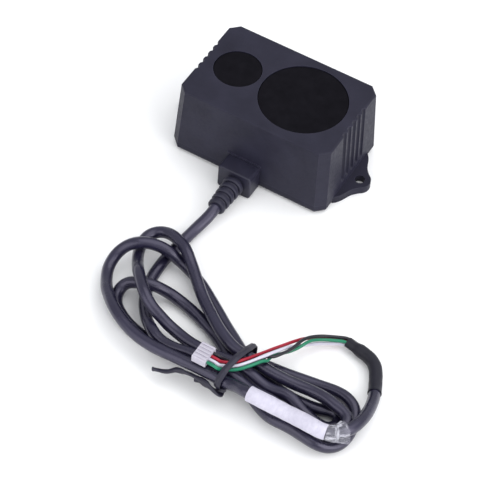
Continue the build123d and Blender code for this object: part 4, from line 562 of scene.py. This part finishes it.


# the lighter edge colours below make paler edges that are partly rubbed wear and partly a painted
# highlight
housing = plastic("housing_plastic", srgb(29, 28, 42), srgb(38, 37, 52), rough=(0.44, 0.60),
                  grain=0.16, depth=0.010, edge_wear_and_highlight=srgb(66, 65, 82), spec=0.20)
cover = plastic("cover_plastic", srgb(27, 26, 39), srgb(36, 35, 50), rough=(0.46, 0.62),
                grain=0.16, depth=0.010, edge_wear_and_highlight=srgb(62, 61, 78), spec=0.20)
boot = plastic("boot_pvc", srgb(29, 28, 42), srgb(39, 38, 54), rough=(0.38, 0.52),
               grain=0.12, depth=0.005, edge_wear_and_highlight=srgb(56, 55, 70), wear_highlight_radius=0.20, spec=0.32)
cable = extruded("cable_pvc", srgb(19, 18, 33), srgb(30, 28, 49), rough=(0.20, 0.33),
                 spec=0.72, tint=(0.84, 0.80, 1.0, 1.0))
shrink = extruded("heat_shrink", srgb(18, 17, 27), srgb(28, 27, 40), rough=(0.44, 0.58),
                  spec=0.30, streak=0.03)
tie = extruded("tie_plastic", srgb(23, 21, 36), srgb(35, 33, 52), rough=(0.34, 0.48),
               spec=0.42, streak=0.04)
wire_pvc = {
    colour: extruded(f"wire_{colour}_pvc", dark, light, rough=(0.30, 0.42), spec=spec,
                     streak=0.012)
    for colour, dark, light, spec in (
        ("red", srgb(140, 14, 38), srgb(166, 28, 52), 0.35),
        ("green", srgb(20, 104, 76), srgb(36, 130, 98), 0.35),
        ("white", srgb(186, 183, 198), srgb(202, 199, 213), 0.35),
        ("black", srgb(20, 19, 27), srgb(32, 31, 41), 0.40))
}
nylon = plastic("plug_nylon", srgb(172, 168, 180), srgb(188, 184, 196), rough=(0.34, 0.48),
                grain=0.20, depth=0.005, subsurface=0.05, spec=0.35)
window = infrared_window()
vinyl = label_vinyl()
film = clear_film()
rubber = plastic("black_rubber", (0.012, 0.012, 0.013, 1), (0.02, 0.02, 0.022, 1),
                 rough=(0.55, 0.75), grain=0.1)
barrel = plastic("barrel_plastic", (0.010, 0.010, 0.011, 1), (0.018, 0.018, 0.02, 1),
                 rough=(0.55, 0.7), grain=0.12)
header = plastic("header_plastic", (0.012, 0.012, 0.013, 1), (0.022, 0.022, 0.024, 1),
                 rough=(0.35, 0.5), grain=0.12)
chip = plastic("chip_mould", (0.018, 0.018, 0.02, 1), (0.03, 0.03, 0.034, 1),
               rough=(0.4, 0.55), grain=0.08)
ceramic = plastic("capacitor_ceramic", (0.30, 0.19, 0.10, 1), (0.42, 0.28, 0.16, 1),
                  rough=(0.3, 0.45), grain=0.08)
gap_pad = plastic("gap_filler", (0.16, 0.22, 0.28, 1), (0.22, 0.29, 0.36, 1),
                  rough=(0.6, 0.8), grain=0.12)
steel = metal("zinc_steel", (0.62, 0.62, 0.64, 1))
aluminium = metal("machined_aluminium", (0.78, 0.78, 0.79, 1))
brass = metal("tinned_brass", (0.72, 0.62, 0.38, 1), rough=(0.2, 0.34))
metal_can = metal("metal_can", (0.7, 0.7, 0.72, 1), rough=(0.18, 0.3))
lens_glass = glass("lens_glass", (0.92, 0.96, 0.98, 1))
filter_glass = glass("filter_glass", (0.35, 0.06, 0.10, 1))
board = solder_mask()

# material, CAD pieces that wear it
FINISHES = [
    (housing, "front_housing"),
    (cover, "rear_cover"),
    (rubber, "cover_gasket receiver_window_seal emitter_window_seal barrel_foam_gasket"),
    (steel, "cover_screws board_screws"),
    (window, "receiver_window emitter_window"),
    (barrel, "receiver_lens_barrel receiver_lens_ring emitter_lens_holder emitter_lens_ring"
             " optical_baffle"),
    (lens_glass, "receiver_lens emitter_lens"),
    (filter_glass, "bandpass_filter"),
    (chip, "detector_chip processor_chip timing_chip regulator_chip power_inductor"),
    (board, "emitter_board main_board"),
    (brass, "emitter_diode header_pins plug_terminals"),
    (aluminium, "emitter_heat_spreader"),
    (gap_pad, "thermal_pad"),
    (header, "header_body"),
    (metal_can, "clock_crystal"),
    (ceramic, "capacitors"),
    (nylon, "board_socket inner_plug plug_housing"),
    (boot, "cable_gland boot_rib_2 boot_rib_3 boot_rib_4 boot_rib_5"),
    (cable, "cable_entry_stub cable_jacket"),
    (shrink, "heat_shrink_sleeve"),
    (vinyl, "cable_label"),
    (film, "label_clear_film"),
    (tie, "twist_tie"),
] + [(pvc, f"wire_{colour} inner_lead_{colour}") for colour, pvc in wire_pvc.items()]
finish_of = {piece: material for material, pieces in FINISHES for piece in pieces.split()}
for name, piece in NODES.items():
    piece.data.materials.clear()
    piece.data.materials.append(finish_of[name])


# ------------------------------------------------------ lead and its wrappings

def join_lead(obj, slot, *replaced):
    """Hide the named CAD pieces, if any, and attach obj so it moves with the lead. slot is not
    used.
    """
    if replaced:
        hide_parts(*replaced)
    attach(obj, "lead")


def jacket_section(distance, angles):
    # four twisted cores inside show as a very slight lay, one turn in 46 mm
    lay = 0.018 * np.cos(4 * (angles - FULL_TURN * distance / 46.0))
    return circle(CABLE_RADIUS + lay + 0.012 * math.sin(distance * 0.23) - 0.02, angles)


def wire_section(distance, angles):
    return circle(WIRE_RADIUS - 0.005 + 0.006 * math.sin(distance * 1.1), angles)


def wrap_turn(angles):
    """Part of a turn from the edge of a wrapped sheet; it jumps where the edges overlap."""
    return ((angles + 2.2) % FULL_TURN) / FULL_TURN


def label_radius(distance, angles):
    waves = (0.03 * np.sin(distance * 0.55 + 2 * angles)
             + 0.02 * np.sin(distance * 1.7 - angles * 3))
    return 2.34 + 0.13 * wrap_turn(angles) + waves


def film_radius(distance, angles):
    # a loose tail that opens out and ruffles towards its end
    opening = min(1.0, distance / 5.6)
    return (2.36 + 0.10 * wrap_turn(angles) + 0.95 * opening * opening
            + (0.03 + 0.30 * opening) * np.sin(3 * angles + 0.9)
            + (0.02 + 0.12 * opening) * np.sin(9 * angles + 1.3 * distance)
            + 0.04 * np.sin(distance * 1.9 + 5 * angles))


join_lead(tube("lead_jacket", spline(LEAD_LINE, step=0.55), jacket_section, cable, sides=28,
               cap=0.15), "cable", "cable_jacket")

sleeve_path = spline(SLEEVE_LINE, step=0.4)
MOUTH_START = sleeve_path[1][-1] - 4.6
MOUTH_TAPER = 2.2


def sleeve_radius(distance, angles):
    # snug on the jacket, drawn in over the four wires at its mouth
    drawn = min(1.0, max(0.0, (distance - MOUTH_START) / MOUTH_TAPER))
    drawn = drawn * drawn * (3 - 2 * drawn)
    lip = 0.10 * math.exp(-((distance - 0.3) / 0.35) ** 2)
    lobes = 0.10 * drawn * np.cos(4 * angles)
    return (2.02 + 0.02 * math.sin(distance * 1.9)) * (1 - drawn) + 1.66 * drawn + lobes + lip


join_lead(pipe("lead_sleeve", sleeve_path, sleeve_radius, wall=0.16, material=shrink, sides=40),
          "sleeve", "heat_shrink_sleeve")
join_lead(pipe("marker_label", spline(LABEL_LINE, step=0.35), label_radius, wall=0.14,
               material=vinyl, sides=56), "label", "cable_label")
join_lead(pipe("label_film", spline(FILM_LINE, step=0.3), film_radius, wall=0.07,
               material=film, sides=96), "film", "label_clear_film")
for colour, line in WIRE_LINES.items():
    wire = tube("lead_wire_" + colour, spline(line, step=0.25), wire_section, wire_pvc[colour],
                sides=18, cap=0.05)
    join_lead(wire, "wire_" + colour, "wire_" + colour)

# ------------------------------------------------------------------- twist tie

# The band lies in an upright plane across the bundle, close to the YZ plane.
TIE_CENTRE = np.array((36.452, -86.272, 0.0))
TIE_ACROSS = np.array((0.06175, 0.99809, 0.0))
TIE_NORMAL = np.array((-TIE_ACROSS[1], TIE_ACROSS[0], 0.0))
BAND_OFFSET = 0.58  # from the strands to the band's centre line
BAND_SIDESTEP = 0.25  # how far the band sways along the bundle
BAND_START = np.array((-9.0, 6.1))  # across, height
# circles the band goes round, in its plane: across, height, radius
STRANDS = [
    (4.51, 6.86, CABLE_RADIUS), (2.52, 3.01, CABLE_RADIUS), (-1.62, 3.19, CABLE_RADIUS),
    (-1.81, 3.29, CABLE_RADIUS), (7.04, 3.01, CABLE_RADIUS), (-8.31, 8.82, CABLE_RADIUS),
    (-6.76, 11.40, WIRE_RADIUS), (-1.13, 10.94, WIRE_RADIUS), (8.2, 5.9, 0.8),
]


def strand_hull():
    """Convex outline round all strands, BAND_OFFSET outside them."""
    outline = set()
    for across, height, radius in STRANDS:
        for k in range(72):
            angle = math.radians(5 * k)
            outline.add((across + (radius + BAND_OFFSET) * math.cos(angle),
                         height + (radius + BAND_OFFSET) * math.sin(angle)))
    outline = sorted(outline)

    def half(points):
        kept = []
        for x, y in points:
            while len(kept) > 1:
                (ax, ay), (bx, by) = kept[-2:]
                if (bx - ax) * (y - ay) - (by - ay) * (x - ax) > 1e-9:
                    break
                kept.pop()
            kept.append((x, y))
        return kept[:-1]
    return np.array(half(outline) + half(outline[::-1]))


def band_path():
    hull = strand_hull()
    closed = np.vstack([hull, hull[:1]])
    along = path_lengths(closed)
    even = np.linspace(0, along[-1], 180)
    loop = np.stack([np.interp(even, along, closed[:, c]) for c in range(2)], 1)[:-1]
    for _ in range(3):
        loop = 0.25 * np.roll(loop, 1, 0) + 0.5 * loop + 0.25 * np.roll(loop, -1, 0)
    start = int(np.argmin(np.linalg.norm(loop - BAND_START, axis=1)))
    loop = np.roll(loop, -start, 0)
    loop = np.vstack([loop, loop[:2]])  # the ends overlap a little
    points = TIE_CENTRE + loop[:, :1] * TIE_ACROSS + loop[:, 1:] * np.array((0, 0, 1.0))
    sway = np.sin(np.linspace(0, FULL_TURN, len(points)))[:, None]
    points = points + BAND_SIDESTEP * sway * TIE_NORMAL
    return points, path_lengths(points)


def strip_section(half_width, half_thick, core, twist=None):
    """Flat strip with its wire core raised along the middle; twist is radians per mm."""
    def section(distance, angles):
        cos, sin = np.cos(angles), np.sin(angles)
        width = half_width * (1 + 0.04 * math.sin(distance * 0.9))
        x = width * np.sign(cos) * np.abs(cos) ** 0.8
        ridge = np.minimum(np.abs(sin) * 4, 1) * core * np.exp(-(x / 0.42) ** 2)
        y = np.sign(sin) * (half_thick * np.abs(sin) ** 0.7 + ridge)
        if twist is None:
            return x, y
        turn = 0.4 + twist * distance + 0.3 * math.sin(distance * 0.7)
        return (x * math.cos(turn) - y * math.sin(turn),
                x * math.sin(turn) + y * math.cos(turn))
    return section


join_lead(tube("tie_band", band_path(), strip_section(half_width=1.05, half_thick=0.24, core=0.22),
               tie, sides=28, up=tuple(TIE_NORMAL), cap=0.1), "tie", "twist_tie")
for name, line, twist in (("tie_end_short", TIE_SHORT_LINE, 0.55),
                          ("tie_end_long", TIE_LONG_LINE, 0.30)):
    section = strip_section(half_width=0.86, half_thick=0.42, core=0.16, twist=twist)
    join_lead(tube(name, spline(line, step=0.3), section, tie, sides=28, cap=0.15), "tie")

# --------------------------------------- flexible necks between the boot's ribs

BOOT_X, BOOT_Z = -0.3, 4.6
FIRST_GAP_Y = -26.64  # +Y side of the gap nearest the housing
RIB_PITCH = 2.39
RIB_GAP = 0.75
NECK_OVERLAP = 0.5  # how far a neck runs into the rib on each side
NECK_RADIUS, NECK_TAPER = 2.62, 0.11  # first neck, and loss per neck
NECK_STATIONS = 15
RIB_BODIES = ["housing", "housing", "boot_link", "lead", "lead"]


def boot_neck(k):
    gap_start = FIRST_GAP_Y - RIB_PITCH * k
    gap_end = gap_start - RIB_GAP
    y = np.linspace(gap_start + NECK_OVERLAP, gap_end - NECK_OVERLAP, NECK_STATIONS)
    points = np.stack([np.full(NECK_STATIONS, BOOT_X), y, np.full(NECK_STATIONS, BOOT_Z)], 1)
    middle = RIB_GAP / 2 + NECK_OVERLAP

    def section(distance, angles):
        waist = 0.16 * math.exp(-((distance - middle) / 0.34) ** 2)
        return circle(NECK_RADIUS - NECK_TAPER * k - waist, angles)

    neck = tube("boot_neck_%d" % (k + 1), (points, y[0] - y), section, boot, sides=36)
    before, after = RIB_BODIES[k:k + 2]
    if before == after:
        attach(neck, before)
    else:
        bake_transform(neck)


for k in range(len(RIB_BODIES) - 1):
    boot_neck(k)

# ------------------------------------------------- floor and light, in metres

FLOOR_HALF = 3
FLOOR_Z = -0.00005

floor_mesh = bpy.data.meshes.new("floor")
floor_mesh.from_pydata([(x * FLOOR_HALF, y * FLOOR_HALF, FLOOR_Z)
                        for x, y in ((-1, -1), (1, -1), (1, 1), (-1, 1))], [], [(0, 1, 2, 3)])
floor = bpy.data.objects.new("floor", floor_mesh)
bpy.context.scene.collection.objects.link(floor)
paper = Shader("floor_paper")
paper.shade({"Base Color": (0.93, 0.93, 0.935, 1), "Roughness": 0.9})
floor_mesh.materials.append(paper.material)

world = bpy.data.worlds.new("studio")
bpy.context.scene.world = world
world.use_nodes = True
background = world.node_tree.nodes["Background"]
background.inputs["Color"].default_value = (0.95, 0.97, 1.0, 1)
background.inputs["Strength"].default_value = 0.70

LIGHT_TARGET = Vector((0.02, -0.04, 0.0))


def area_light(name, location, size, power):
    """Rectangular lamp that faces LIGHT_TARGET; power is in watts."""
    lamp = bpy.data.lights.new(name, "AREA")
    lamp.shape = "RECTANGLE"
    lamp.size, lamp.size_y = size
    lamp.energy = power
    obj = bpy.data.objects.new(name, lamp)
    bpy.context.scene.collection.objects.link(obj)
    obj.location = location
    aim = LIGHT_TARGET - Vector(location)
    obj.rotation_euler = aim.to_track_quat("-Z", "Y").to_euler()


area_light("key", location=(0.25, 0.15, 0.80), size=(1.0, 1.0), power=4.6)
area_light("fill", location=(-0.15, -0.65, 0.35), size=(0.9, 0.7), power=2.6)
area_light("side", location=(0.70, -0.20, 0.30), size=(0.6, 0.6), power=3.4)

# ---------------------------------------------------------------------- camera

# the camera's own X, Y and Z directions; it looks along its -Z
CAMERA_AXES = (
    Vector((0.86233564, 0.50324752, 0.05584957)),
    Vector((-0.41890957, 0.64712841, 0.63697692)),
    Vector((0.2844152, -0.57268382, 0.76885709)),
)
CAMERA_PLACE = Vector((218.90780599, -458.7636635, 562.47936))

camera_data = bpy.data.cameras.new("camera")
camera = bpy.data.objects.new("camera", camera_data)
bpy.context.scene.collection.objects.link(camera)
rotation = Matrix(CAMERA_AXES).transposed()
camera.matrix_world = Matrix.Translation(CAMERA_PLACE * MM) @ rotation.to_4x4()
camera_data.sensor_width = 36.0
camera_data.lens = 178.611375
camera_data.clip_start, camera_data.clip_end = 0.01, 20.0  # metres
bpy.context.scene.camera = camera
bpy.context.scene.view_settings.view_transform = "Standard"

bpy.context.view_layer.update()
